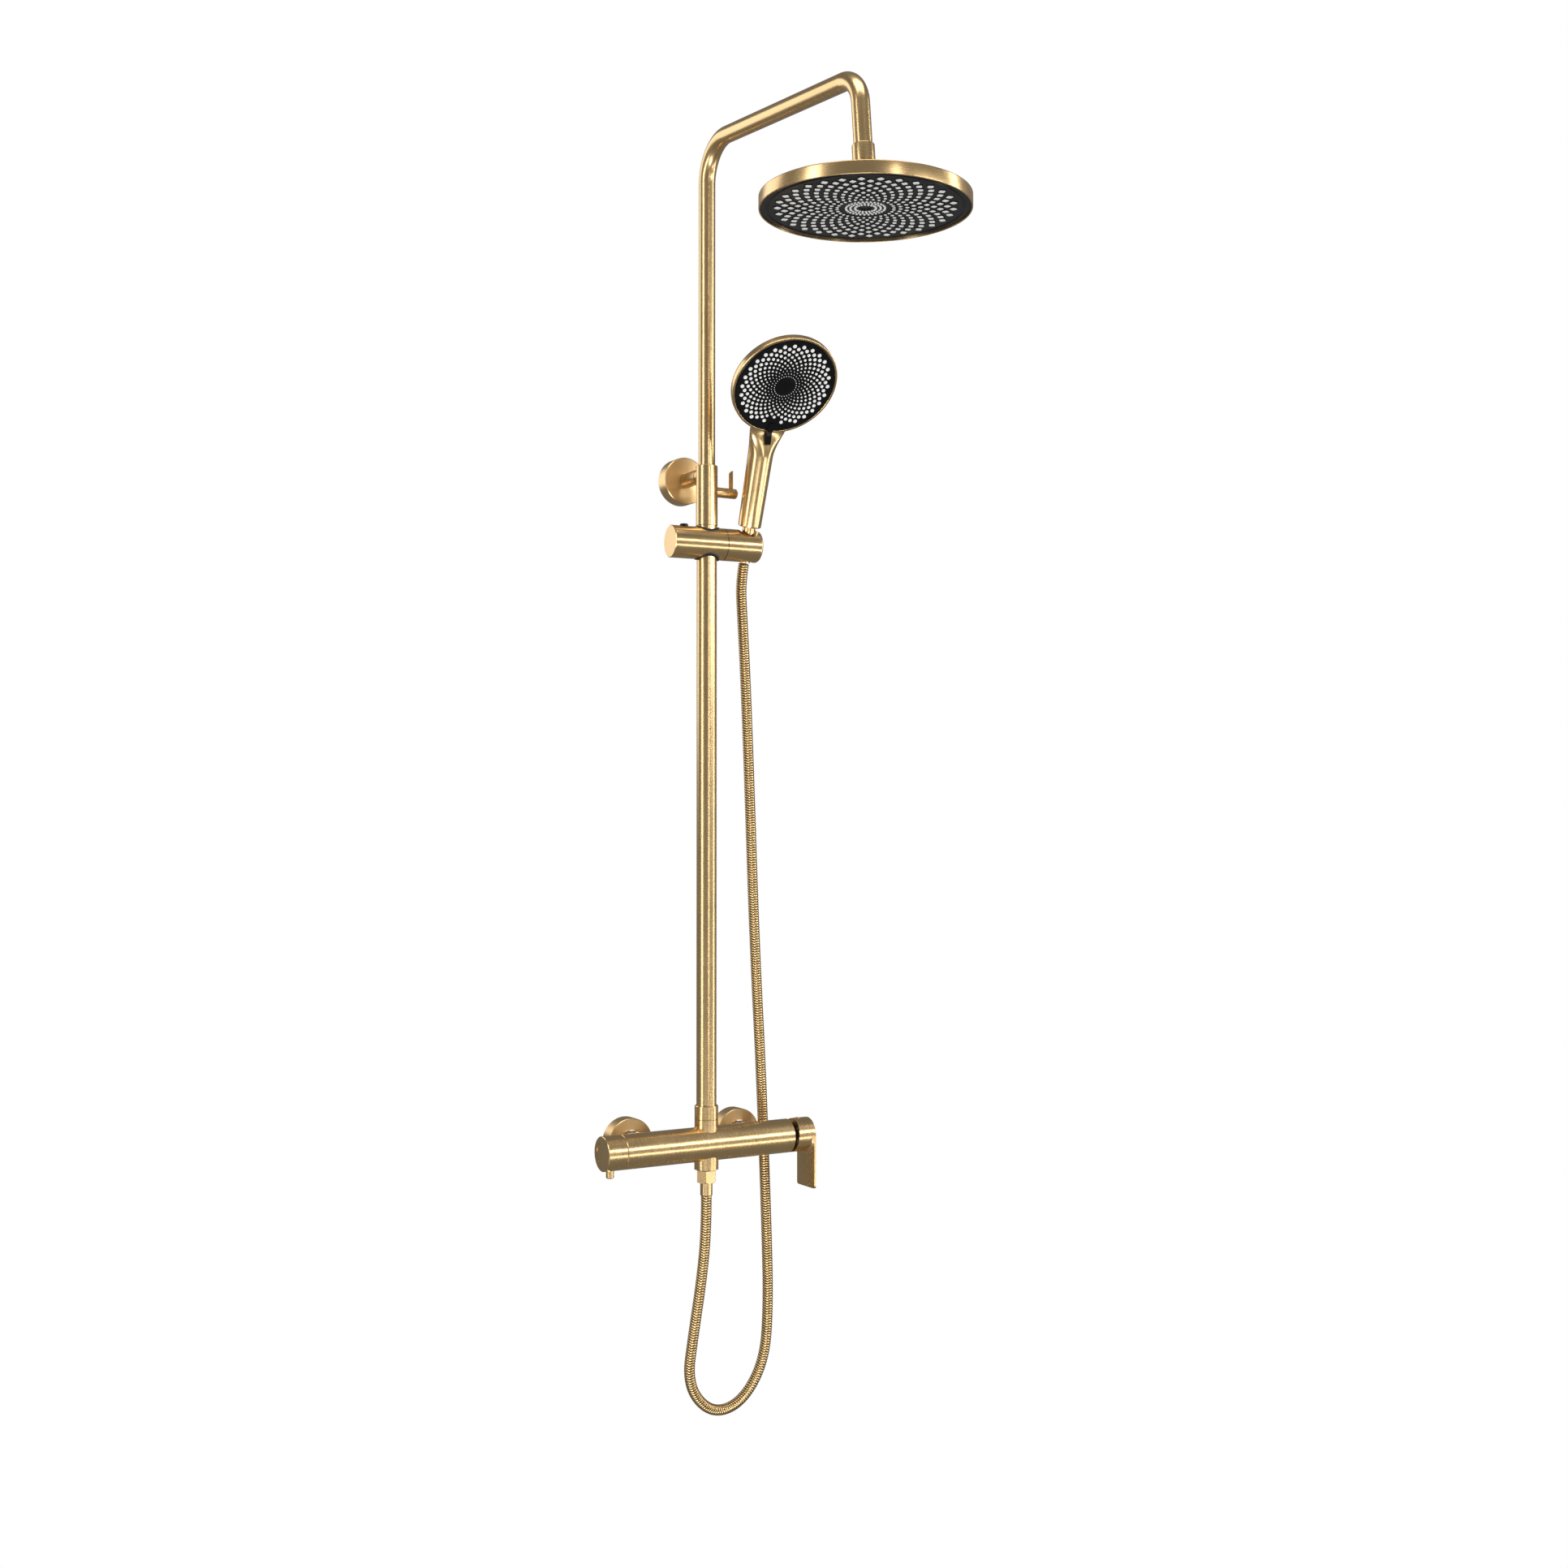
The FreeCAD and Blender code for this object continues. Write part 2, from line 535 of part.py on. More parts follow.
def diverter():
    """Diverter cartridge and the knob that turns it."""
    nodes = {}
    end = Vector(-BAR_HALF, -BAR_OUT, 0)
    left = RIGHT * -1
    flange = 3.0
    spindle_in = -14.0
    cartridge = turned(
        [
            (-DIVERTER_DEPTH + SEAT, 0), (-DIVERTER_DEPTH + SEAT, DIVERTER_R), (SEAT / 2, DIVERTER_R),
            (SEAT / 2, DIVERTER_R + 2.6), (flange, DIVERTER_R + 2.6), (flange, 0),
        ],
        end, left)
    nodes["diverter_cartridge"] = cut(cartridge, rod(SPINDLE_R + RUN, spindle_in - GAP, flange + 1, end, left))
    face = KNOB_GAP + KNOB_LENGTH
    floor = face - KNOB_END
    hub_start = flange + 1.5
    edge = 0.6
    knob = turned(
        [
            (KNOB_GAP, BAR_R - KNOB_WALL), (KNOB_GAP, BAR_R - 0.2), (KNOB_GAP + 0.2, BAR_R), (face - edge, BAR_R),
            (face, BAR_R - edge), (face, 0), (floor, 0), (floor, SPINDLE_R + SEAT),
            (hub_start, SPINDLE_R + SEAT), (hub_start, KNOB_HUB_R), (floor, KNOB_HUB_R),
            (floor, BAR_R - KNOB_WALL),
        ],
        end, left)
    pin_centre = end + left * (face - KNOB_PIN_IN)
    down = UP * -1
    ring = tube(
        GROOVE_R + GROOVE_WIDTH / 2, GROOVE_R - GROOVE_WIDTH / 2, face - GROOVE_DEPTH, face + 1, end, left)
    wall_side = Part.makeBox(FAR, FAR, 2 * GROOVE_R * math.cos(math.radians(28)))
    wall_side.translate(Vector(-FAR, -BAR_OUT, -GROOVE_R * math.cos(math.radians(28))))
    thread_r = 2.5
    nodes["diverter_knob"] = cut(
        knob, ring.common(wall_side),
        rod(KNOB_PIN_R + SEAT, BAR_R - KNOB_WALL - 1, BAR_R + 1, pin_centre, down),
        rod(thread_r + SEAT, 0, KNOB_HUB_R + 1, pin_centre, down),
    )
    tip = 1.0
    nodes["knob_pin"] = turned(
        [
            (SPINDLE_R + 0.05, 0), (SPINDLE_R + 0.05, thread_r), (BAR_R - KNOB_WALL, thread_r),
            (BAR_R - KNOB_WALL, KNOB_PIN_R), (KNOB_PIN_REACH - tip, KNOB_PIN_R),
            (KNOB_PIN_REACH, KNOB_PIN_R - tip), (KNOB_PIN_REACH, 0),
        ],
        pin_centre, down)
    nodes["diverter_spindle"] = rod(SPINDLE_R, spindle_in, floor - 0.5, end, left)
    return nodes


def arm_points():
    """The upper tube's two corners, its end and the ball's centre under it."""
    fall, lean = math.radians(ARM_FALL), math.radians(DROP_LEAN)
    ball = Vector(0, -ROSE_OUT, ROSE_BOTTOM + ROSE_THICKNESS + BALL_ABOVE_ROSE)
    first = BAR_CENTRE + UP * CORNER_Z
    run = ROSE_OUT - BAR_OUT
    height = (CORNER_Z - ball.z - run * math.tan(fall)) / (1 - math.tan(fall) * math.tan(lean))
    second = ball + Vector(0, height * math.tan(lean), height)
    drop = (ball - second).normalize()
    return first, second, ball, drop


def riser():
    """Upper telescopic tube with its guide piston."""
    nodes = {}
    first, second, ball, drop = arm_points()
    end = ball - drop * BALL_TO_TUBE
    points = [BAR_CENTRE + UP * UPPER_BOTTOM, first, second, end]
    radii = [FIRST_BEND, SECOND_BEND]
    outside, _ = swept(points, radii, UPPER_R)
    inside, _ = swept([points[0] - UP, first, second, end + drop], radii, UPPER_R - UPPER_WALL)
    # brazed collar round the tube's lower end, half a millimetre into its wall
    collar = turned(
        [
            (END_COLLAR_START, UPPER_R - UPPER_WALL / 2), (END_COLLAR_START, END_COLLAR_R - 1),
            (END_COLLAR_START + 1, END_COLLAR_R), (END_COLLAR_END - 1, END_COLLAR_R),
            (END_COLLAR_END, END_COLLAR_R - 1), (END_COLLAR_END, UPPER_R - UPPER_WALL / 2),
        ],
        ball, drop * -1)
    nodes["upper_tube"] = joined(outside.cut(inside), collar)
    bore = LOWER_R - LOWER_WALL
    top = UPPER_BOTTOM - GAP
    piston = turned(
        [
            (top - PISTON_LENGTH, WATERWAY_R), (top - PISTON_LENGTH, bore - RUN), (top, bore - RUN),
            (top, UPPER_R - UPPER_WALL - RUN), (top + SPIGOT_LENGTH, UPPER_R - UPPER_WALL - RUN),
            (top + SPIGOT_LENGTH, WATERWAY_R),
        ],
        BAR_CENTRE, UP)
    grooves = [top - PISTON_LENGTH + 5, top - 7]
    nodes["guide_piston"] = cut(piston, *[
        tube(bore + 1, bore - SEAL_DEPTH - RUN, low, low + SEAL_HEIGHT, BAR_CENTRE, UP) for low in grooves
    ])
    nodes["piston_seals"] = Part.makeCompound([
        tube(bore - RUN / 2, bore - SEAL_DEPTH - RUN, low, low + SEAL_HEIGHT, BAR_CENTRE, UP) for low in grooves
    ])
    return nodes


def bracket():
    """Wall bracket with its ring and grub screw, the sleeve between the tubes, and the clamp."""
    nodes = {}
    wall_point = UP * BRACKET_Z
    boss_start = BAR_OUT - SLEEVE_R - 3.5
    ring_width = 1.2
    stem_end = boss_start - ring_width
    spigot_end = BASE_THICKNESS + 24.0
    grub_at = ROSETTE_DEPTH + 4.0
    screw_points = [wall_point + UP * (side * SCREW_SPACING / 2) for side in (-1, 1)]
    down = UP * -1
    base = turned(
        [
            (0, 0), (0, BASE_R), (BASE_THICKNESS, BASE_R), (BASE_THICKNESS, SPIGOT_R), (spigot_end, SPIGOT_R),
            (spigot_end, 0),
        ],
        wall_point, OUT)
    nodes["bracket_base"] = cut(base, *[rod(SCREW_R + 0.4, -1, BASE_THICKNESS + 1, p, OUT) for p in screw_points])
    head_r = 2 * SCREW_R
    screw = [
        (-SCREW_LENGTH, 0), (-SCREW_LENGTH + 3, SCREW_R - SEAT), (0, SCREW_R - SEAT), (0, SCREW_R),
        (BASE_THICKNESS + 0.05, SCREW_R),
        (BASE_THICKNESS + 0.05, head_r), (BASE_THICKNESS + 1.4, head_r), (BASE_THICKNESS + 2.4, head_r / 2),
        (BASE_THICKNESS + 2.4, 0),
    ]
    nodes["bracket_screws"] = Part.makeCompound([turned(screw, p, OUT) for p in screw_points])
    nodes["bracket_rosette"] = turned(rosette(BRACKET_ROSETTE_R, STEM_OUTER_R + SEAT), wall_point, OUT)
    stem = tube(STEM_OUTER_R, SPIGOT_R + SEAT, BASE_THICKNESS + SEAT, stem_end, wall_point, OUT)
    grub_centre = wall_point + OUT * grub_at
    grub_r = 2.0
    nodes["bracket_stem"] = cut(stem, rod(grub_r + SEAT, 0, STEM_OUTER_R + 1, grub_centre, down))
    grub = rod(grub_r, SPIGOT_R + 0.05, STEM_OUTER_R - SEAT, grub_centre, down)
    ring = tube(STEM_OUTER_R - 0.7, SPIGOT_R + SEAT, stem_end + 0.05, boss_start - 0.05, wall_point, OUT)

    clamp_centre = BAR_CENTRE + UP * CLAMP_Z
    edge = 0.5
    sleeve = turned(
        [
            (SLEEVE_BOTTOM, 0), (SLEEVE_BOTTOM, SLEEVE_R - edge), (SLEEVE_BOTTOM + edge, SLEEVE_R),
            (SLEEVE_TOP - edge, SLEEVE_R), (SLEEVE_TOP, SLEEVE_R - edge), (SLEEVE_TOP, 0),
        ],
        BAR_CENTRE, UP)
    sleeve = joined(
        sleeve,
        rod(STEM_OUTER_R, boss_start, BAR_OUT, wall_point, OUT),
        rod(SPIGOT_R, boss_start - 12, BAR_OUT, wall_point, OUT),
        rod(CLAMP_R, 0, CLAMP_SEAM, clamp_centre, RIGHT),
    )
    nodes["clamp_sleeve"] = cut(
        sleeve,
        rod(LOWER_R + SEAT, SLEEVE_BOTTOM - 1, LOWER_TOP + SEAT, BAR_CENTRE, UP),
        rod(UPPER_R + RUN, SLEEVE_BOTTOM, SLEEVE_TOP + 1, BAR_CENTRE, UP),
        rod(CLAMP_SCREW_R + RUN, 0, CLAMP_SEAM + 1, clamp_centre, RIGHT),
    )
    screw_end = CLAMP_END - 4
    nodes["clamp_screw"] = rod(CLAMP_SCREW_R, UPPER_R + GAP, screw_end, clamp_centre, RIGHT)
    tip = 1.2
    knob = turned(
        [
            (CLAMP_SEAM + 0.4, 0), (CLAMP_SEAM + 0.4, CLAMP_R), (CLAMP_END - tip, CLAMP_R),
            (CLAMP_END, CLAMP_R - tip), (CLAMP_END, 0),
        ],
        clamp_centre, RIGHT)
    low = CLAMP_Z
    left, right = FIN_X - FIN_THICKNESS / 2, FIN_X + FIN_THICKNESS / 2
    blade = Part.makePolygon([
        Vector(left, 0, low), Vector(right, 0, low), Vector(right, 0, FIN_TOP),
        Vector(left, 0, FIN_TOP - FIN_SLANT), Vector(left, 0, low),
    ])
    blade = Part.Face(blade).extrude(Vector(0, FIN_WIDTH, 0))
    blade.translate(Vector(0, -BAR_OUT - FIN_WIDTH / 2, 0))
    nodes["clamp_lever"] = cut(
        joined(knob, blade), rod(CLAMP_SCREW_R + 0.02, CLAMP_SEAM, screw_end + 0.1, clamp_centre, RIGHT))
    return nodes, ring, grub


def overhead_rose():
    """Ball joint, its nut and seat, and the flat round rose."""
    nodes = {}
    _, _, ball, drop = arm_points()
    top = ROSE_BOTTOM + ROSE_THICKNESS
    axis = Vector(0, -ROSE_OUT, 0)
    boss_top = top + BALL_ABOVE_ROSE - ROSE_NUT_HALF - 0.05
    shell = turned(
        [
            (ROSE_BOTTOM, ROSE_R - ROSE_WALL), (ROSE_BOTTOM, ROSE_R - 0.5), (ROSE_BOTTOM + 0.5, ROSE_R),
            (top - 1.2, ROSE_R), (top, ROSE_R - 1.2), (top, ROSE_BOSS_R), (boss_top, ROSE_BOSS_R),
            (boss_top, BALL_NECK_R + 1), (top - ROSE_WALL, BALL_NECK_R + 1), (top - ROSE_WALL, ROSE_R - ROSE_WALL),
        ],
        axis, UP)
    nodes["rose_shell"] = shell
    face_low = ROSE_BOTTOM + FACE_RECESS
    face_top = face_low + FACE_THICKNESS
    inner_r = ROSE_R - ROSE_WALL - SEAT
    mat_low = face_top + SEAT
    mat_top = mat_low + MAT_THICKNESS
    plate_low = mat_top + SEAT
    plate_top = plate_low + PLATE_THICKNESS
    nodes["rose_face"] = rod(inner_r, face_low, face_top, axis, UP)
    nodes["rose_nozzle_mat"] = rod(inner_r - 3, mat_low, mat_top, axis, UP)
    screw_r = 2.0
    turns = [2 * math.pi * k / ROSE_SCREWS for k in range(ROSE_SCREWS)]
    places = [axis + Vector(math.cos(a), math.sin(a), 0) * ROSE_SCREW_CIRCLE for a in turns]
    plate = rod(inner_r - 3, plate_low, plate_top, axis, UP)
    nodes["rose_water_plate"] = cut(plate, *[rod(screw_r + SEAT, 0, 2 * top, p, UP) for p in places])
    nodes["rose_screws"] = Part.makeCompound(
        [rod(screw_r, plate_low + SEAT, top - ROSE_WALL - SEAT, p, UP) for p in places])

    cavity = BALL_R + GAP
    nut = turned(
        [
            (-ROSE_NUT_HALF, 0), (-ROSE_NUT_HALF, ROSE_NUT_R), (ROSE_NUT_HALF - 0.8, ROSE_NUT_R),
            (ROSE_NUT_HALF, ROSE_NUT_R - 0.8), (ROSE_NUT_HALF, 0),
        ],
        ball, UP)
    nodes["rose_nut"] = cut(
        nut, Part.makeSphere(cavity, ball), rod(cavity, -ROSE_NUT_HALF - 1, 0, ball, UP),
        rod(ROSE_NUT_MOUTH, 0, ROSE_NUT_HALF + 1, ball, UP))
    seat = tube(BALL_R, BALL_NECK_R, -ROSE_NUT_HALF + 0.2, -3.6, ball, UP)
    nodes["ball_seat"] = cut(seat, Part.makeSphere(BALL_R + RUN, ball))
    plug_r = UPPER_R - UPPER_WALL - 0.02
    plug_end = BALL_TO_TUBE + 12
    back = drop * -1
    neck = rod(BALL_NECK_R, 0, plug_end, ball, back)
    plug = rod(plug_r, BALL_TO_TUBE + 0.5, plug_end, ball, back)
    bore_r = 3.2
    nodes["ball_fitting"] = cut(joined(Part.makeSphere(BALL_R, ball), neck, plug), rod(bore_r, -FAR, FAR, ball, back))
    return nodes


def yawed(shape):
    """The shape turned about the riser with the slider."""
    moved = shape.copy()
    moved.rotate(BAR_CENTRE, UP, -SLIDER_YAW)
    return moved


def handle_axis():
    """The holder's centre and the handle's direction, before the slider is turned."""
    lean = math.radians(LEAN)
    return Vector(HOLDER_BORE_X, -BAR_OUT, SLIDER_Z), Vector(0, -math.sin(lean), math.cos(lean))


def slider():
    """Hand shower slider: bushes on the tube, body, brake, button and the holder that tilts."""
    nodes = {}
    centre = BAR_CENTRE + UP * SLIDER_Z
    left = RIGHT * -1
    saddle = rod(SLIDER_R + BUSH_PROUD, -FAR, FAR, centre, RIGHT)
    reach = SLIDER_R + BUSH_PROUD + 1
    bushes = []
    for side in (-1, 1):
        low, high = sorted((side * reach, side * (SLIDER_R - BUSH_LENGTH)))
        bushes.append(tube(BUSH_R, LOWER_R + RUN, low, high, centre, UP).common(saddle))
    nodes["slider_bushes"] = Part.makeCompound(bushes)
    edge = 0.7
    body = turned(
        [
            (-SLIDER_LEFT, 0), (-SLIDER_LEFT, SLIDER_R - edge), (-SLIDER_LEFT + edge, SLIDER_R),
            (SLIDER_SEAM, SLIDER_R), (SLIDER_SEAM, 0),
        ],
        centre, RIGHT)
    button_centre = centre + left * BUTTON_X
    button_low = SLIDER_R - BUTTON_SUNK
    spring_low = button_low - SPRING_LENGTH
    shoe_start = LOWER_R + GAP
    shoe_end = shoe_start + SHOE_LENGTH
    nodes["slider_body"] = cut(
        body,
        rod(BUSH_R + RUN, -FAR, FAR, centre, UP),
        rod(BUTTON_R + GAP, spring_low, FAR, button_centre, UP),
        rod(SHOE_R + SEAT, 0, BUTTON_X, centre, left),
        rod(AXLE_R, 0, FAR, centre, RIGHT),
    )
    button = turned(
        [
            (button_low, 0), (button_low, BUTTON_R), (SLIDER_R + BUTTON_PROUD - 0.6, BUTTON_R),
            (SLIDER_R + BUTTON_PROUD, BUTTON_R - 0.6), (SLIDER_R + BUTTON_PROUD, 0),
        ],
        button_centre, UP)
    nodes["slider_button"] = button
    nodes["button_spring"] = tube(BUTTON_R - 0.8, BUTTON_R - 2.0, spring_low + 0.05, button_low - 0.05, button_centre, UP)
    nodes["brake_shoe"] = rod(SHOE_R, shoe_start, shoe_end, centre, left)
    nodes["brake_shoe"] = cut(nodes["brake_shoe"], rod(LOWER_R + GAP, -FAR, FAR, centre, UP))
    nodes["holder_axle"] = rod(AXLE_R, BUSH_R + 2 * GAP, AXLE_END, centre, RIGHT)
    nodes["holder_washer"] = tube(
        SLIDER_R - 0.7, AXLE_R + SEAT, SLIDER_SEAM + 0.05, SLIDER_SEAM + SEAM_WIDTH - GAP / 2, centre, RIGHT)

    start = SLIDER_SEAM + SEAM_WIDTH
    holder = turned([(start, 0), (start, SLIDER_R), (SLIDER_RIGHT, SLIDER_R), (SLIDER_RIGHT, 0)], centre, RIGHT)
    end_edges = [e for e in holder.Edges if isinstance(e.Curve, Part.Circle) and abs(e.Curve.Center.x - SLIDER_RIGHT) < 0.01]
    holder = holder.makeFillet(HOLDER_ROUND, end_edges)
    seat_centre, along = handle_axis()

    def bore_r(at):
        return CONE_TOP_R + CONE_SLOPE * (at - CONE_TOP) + GAP

    reach = SLIDER_R + 3
    bore = turned([(-reach, 0), (-reach, bore_r(-reach)), (reach, bore_r(reach)), (reach, 0)], seat_centre, along)
    slot = Part.makeBox(2 * (HOSE_R + 0.6), FAR, 2 * FAR)
    slot.translate(Vector(-HOSE_R - 0.6, 0, -FAR))
    slot.rotate(Vector(), RIGHT, LEAN)
    slot.translate(seat_centre)
    nodes["holder"] = cut(holder, bore, slot, rod(AXLE_R + RUN, 0, AXLE_END + GAP, centre, RIGHT))
    return {name: yawed(shape) for name, shape in nodes.items()}


def handset():
    """Hand shower: handle and head in one shell, spray face, selector, and the hose's end in its cone nut."""
    nodes = {}
    turn = math.radians(FACE_TURN)
    square = Vector(0, 1, 0)
    normal = Vector(0, math.cos(turn), -math.sin(turn))
    face = Vector(0, HEAD_FORWARD, HEAD_ALONG)
    back = normal * -1
    upward = Vector(0, math.sin(turn), math.cos(turn))

    def oval(half_width, half_depth, forward, at, tilt):
        """Closed oval wire across the handle, its plane tipped by tilt degrees."""
        wire = Part.Wire([Part.Ellipse(Vector(), half_width, half_depth).toShape()])
        wire.Placement = Placement(Vector(0, forward, at), Rotation(RIGHT, tilt))
        return wire

    def dome(radius, rim, depth):
        """Outline of a domed back, from its rim to its middle."""
        shares = [math.sin(math.radians(angle)) for angle in range(90, -1, -15)]
        return [(rim + (depth - rim) * math.sqrt(1 - share**HEAD_DOME_POWER), radius * share) for share in shares]

    handle = turned(
        [
            (HANDLE_START, 0), (HANDLE_START, HANDLE_START_R - 1), (HANDLE_START + 1, HANDLE_START_R),
            (HANDLE_END, HANDLE_END_R), (HANDLE_END, 0),
        ],
        Vector(), UP)
    start_r = HANDLE_END_R - 0.35  # just inside the handle, so that the neck's end is buried
    ovals = [oval(start_r, start_r, 0, HANDLE_END - NECK_OVERLAP, 0)]
    for share in (1 / 3, 2 / 3, 1):
        beyond = share * (NECK_END - HANDLE_END)
        front_line = start_r - NECK_FRONT_FALL * beyond
        back_line = NECK_BACK_RISE * share**1.5 - start_r
        half_width = start_r + (NECK_END_HALF - start_r) * share**1.3
        ovals.append(
            oval(half_width, (front_line - back_line) / 2, (front_line + back_line) / 2, HANDLE_END + beyond, 0))
    neck = Part.makeLoft(ovals, True)
    head = turned(
        [(0, 0), (0, HEAD_R - HEAD_EDGE), (HEAD_EDGE, HEAD_R)] + dome(HEAD_R, HEAD_RIM, HEAD_DEPTH), face, back)
    inner_r = HEAD_R - HEAD_RECESS
    inside = turned(
        [(-1, 0), (-1, HEAD_FACE_R), (HEAD_RECESS, HEAD_FACE_R), (HEAD_RECESS, inner_r)]
        + dome(inner_r, HEAD_RIM, HEAD_DEPTH - HEAD_WALL),
        face, back)
    bore_lean = math.radians(NECK_BORE_LEAN)
    bore_axis = Vector(0, math.sin(bore_lean), math.cos(bore_lean))
    body = joined(handle, neck, head)
    nodes["handset_body"] = cut(
        body, inside,
        rod(HANDLE_BORE_R, HANDLE_START - 1, HANDLE_END, Vector(), UP),
        rod(NECK_BORE_R, 0, NECK_BORE_LENGTH, UP * (HANDLE_END - 1), bore_axis),
    )
    face_in = 0.4
    mat_in = face_in + FACE_THICKNESS + SEAT
    chamber_in = mat_in + MAT_THICKNESS + 2 * SEAT
    chamber_out = chamber_in + CHAMBER_DEPTH
    nodes["handset_face"] = rod(HEAD_FACE_R - SEAT, face_in, face_in + FACE_THICKNESS, face, back)
    nodes["handset_nozzle_mat"] = rod(HEAD_FACE_R - 1.5, mat_in, mat_in + MAT_THICKNESS, face, back)
    nodes["spray_chamber"] = turned(
        [
            (chamber_in, 0), (chamber_in, inner_r - 1), (HEAD_RIM - SEAT, inner_r - 1), (chamber_out, inner_r - 6),
            (chamber_out, 0),
        ],
        face, back)

    # the tab runs from the spray face out over the rim and down along the neck: (out from the centre, in front)
    tab_outline = [
        (HEAD_FACE_R - 11, GAP - 0.1), (HEAD_FACE_R - 11, 2.1), (HEAD_R - 2, 3.0), (HEAD_R + 2, 4.6),
        (HEAD_R + 10.5, 9.4), (HEAD_R + 12.6, 7.8), (HEAD_R + 3.5, 2.5), (HEAD_R - 1, 0.8), (HEAD_FACE_R - 10, GAP),
    ]
    tab_points = [face - upward * out + normal * in_front for out, in_front in tab_outline]
    tab = Part.Face(Part.makePolygon(tab_points + tab_points[:1])).extrude(RIGHT * 2 * TAB_HALF)
    tab.translate(RIGHT * -TAB_HALF)
    rotor = rod(ROTOR_R, chamber_out + GAP, chamber_out + GAP + ROTOR_THICKNESS, face, back)
    nodes["mode_selector"] = Part.makeCompound([tab, rotor])

    tail = turned(
        [
            (-6, WATERWAY_R - 1), (-6, TAIL_NECK_R), (HANDLE_START + 0.5, TAIL_NECK_R),
            (HANDLE_START + 0.5, HANDLE_BORE_R - SEAT), (HANDLE_START + 9, HANDLE_BORE_R - SEAT),
            (HANDLE_START + 9, WATERWAY_R - 1),
        ],
        Vector(), UP)
    nodes["handset_tail"] = tail
    bottom_r = CONE_TOP_R - CONE_SLOPE * (CONE_TOP - CONE_BOTTOM)
    nut = turned(
        [
            (CONE_BOTTOM, FERRULE_R + SEAT), (CONE_BOTTOM, bottom_r), (CONE_TOP - 1, CONE_TOP_R),
            (CONE_TOP, CONE_TOP_R - 1), (CONE_TOP, TAIL_NECK_R + SEAT), (-7.7, TAIL_NECK_R + SEAT),
            (-7.7, FERRULE_R + SEAT),
        ],
        Vector(), UP)
    nodes["hose_cone_nut"] = nut
    nodes["handset_ferrule"] = rod(FERRULE_R, HOSE_EXIT, -7.8, Vector(), UP)

    seat_centre, along = handle_axis()
    # the handset's own frame has +Z along the handle and +Y towards the spray side
    spin = Rotation(Vector(0, 0, 1), 180)
    frame = Placement(seat_centre, Rotation(UP, along).multiply(spin))
    placed_nodes = {}
    for name, shape in nodes.items():
        moved = shape.copy()
        moved.Placement = frame.multiply(moved.Placement)
        placed_nodes[name] = yawed(moved)
    return placed_nodes


def hose(start_z):
    """Shower hose from the mixer's outlet, down in a loop and up to the handset."""
    seat_centre, along = handle_axis()
    turn = Rotation(UP, -SLIDER_YAW)
    exit_point = BAR_CENTRE + turn.multVec(seat_centre + along * HOSE_EXIT - BAR_CENTRE)
    leaving = turn.multVec(along) * -1
    points = [
        BAR_CENTRE - UP * start_z,
        Vector(0, -BAR_OUT, -104),
        Vector(-5, -71, -160),
        Vector(-14, -67, -226),
        Vector(-21, -62, -290),
        Vector(15, -56, -332),
        Vector(62, -50, -328),
        Vector(98, -45, -282),
        Vector(106, -40, -212),
        Vector(105.5, -36.5, -120),
        Vector(102, -35, -10),
        Vector(97.5, -35, 90),
        Vector(90.5, -36, 200),
        Vector(84.5, -38, 305),
        Vector(79, -41.5, 400),
        Vector(73, -45, 500),
        Vector(67, -48, 590),
        Vector(60, -53.5, 650),
        exit_point + leaving * 27,
        exit_point,
    ]
    radii = []
    for before, corner, after in zip(points, points[1:], points[2:]):
        arm, leg = corner - before, after - corner
        radii.append(0.45 * min(arm.Length, leg.Length) / math.tan(arm.getAngle(leg) / 2))
    solid, length = swept(points, radii, HOSE_R)
    runs = [(b - a).Length for a, b in zip(points, points[1:])]
    print("hose length %.0f, smallest arc %.0f, longest run %.0f" % (length, min(radii), max(runs)))
    print("hose radii", " ".join("%.0f" % r for r in radii))
    print("hose volume over section times length %.4f" % (solid.Volume / (math.pi * HOSE_R**2 * length)))
    return {"shower_hose": solid}


def build():
    """Every sub-part by its node's name.  Like fasteners and seals of the fixed body share a node."""
    groups, nut_end = wall_inlets()
    nodes, rings, washers, collar_screw, ferrule_end = bar_and_outlets(nut_end)
    bracket_nodes, stem_ring, stem_screw = bracket()
    groups["sealing_washers"] += washers
    groups["o_rings"] = rings + [stem_ring]
    groups["grub_screws"] = [collar_screw, stem_screw]
    for name, solids in groups.items():
        nodes[name] = Part.makeCompound(solids)
    for group in (lever(), diverter(), riser(), bracket_nodes, overhead_rose(), slider(), handset(), hose(ferrule_end)):
        nodes.update(group)
    return nodes


os.makedirs("parts", exist_ok=True)
for node_name, node_shape in build().items():
    node_shape.exportStep("parts/%s.step" % node_name)
    if not node_shape.isValid() or min(s.Volume for s in node_shape.Solids) <= 0:
        print("check", node_name)
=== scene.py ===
import json
import math

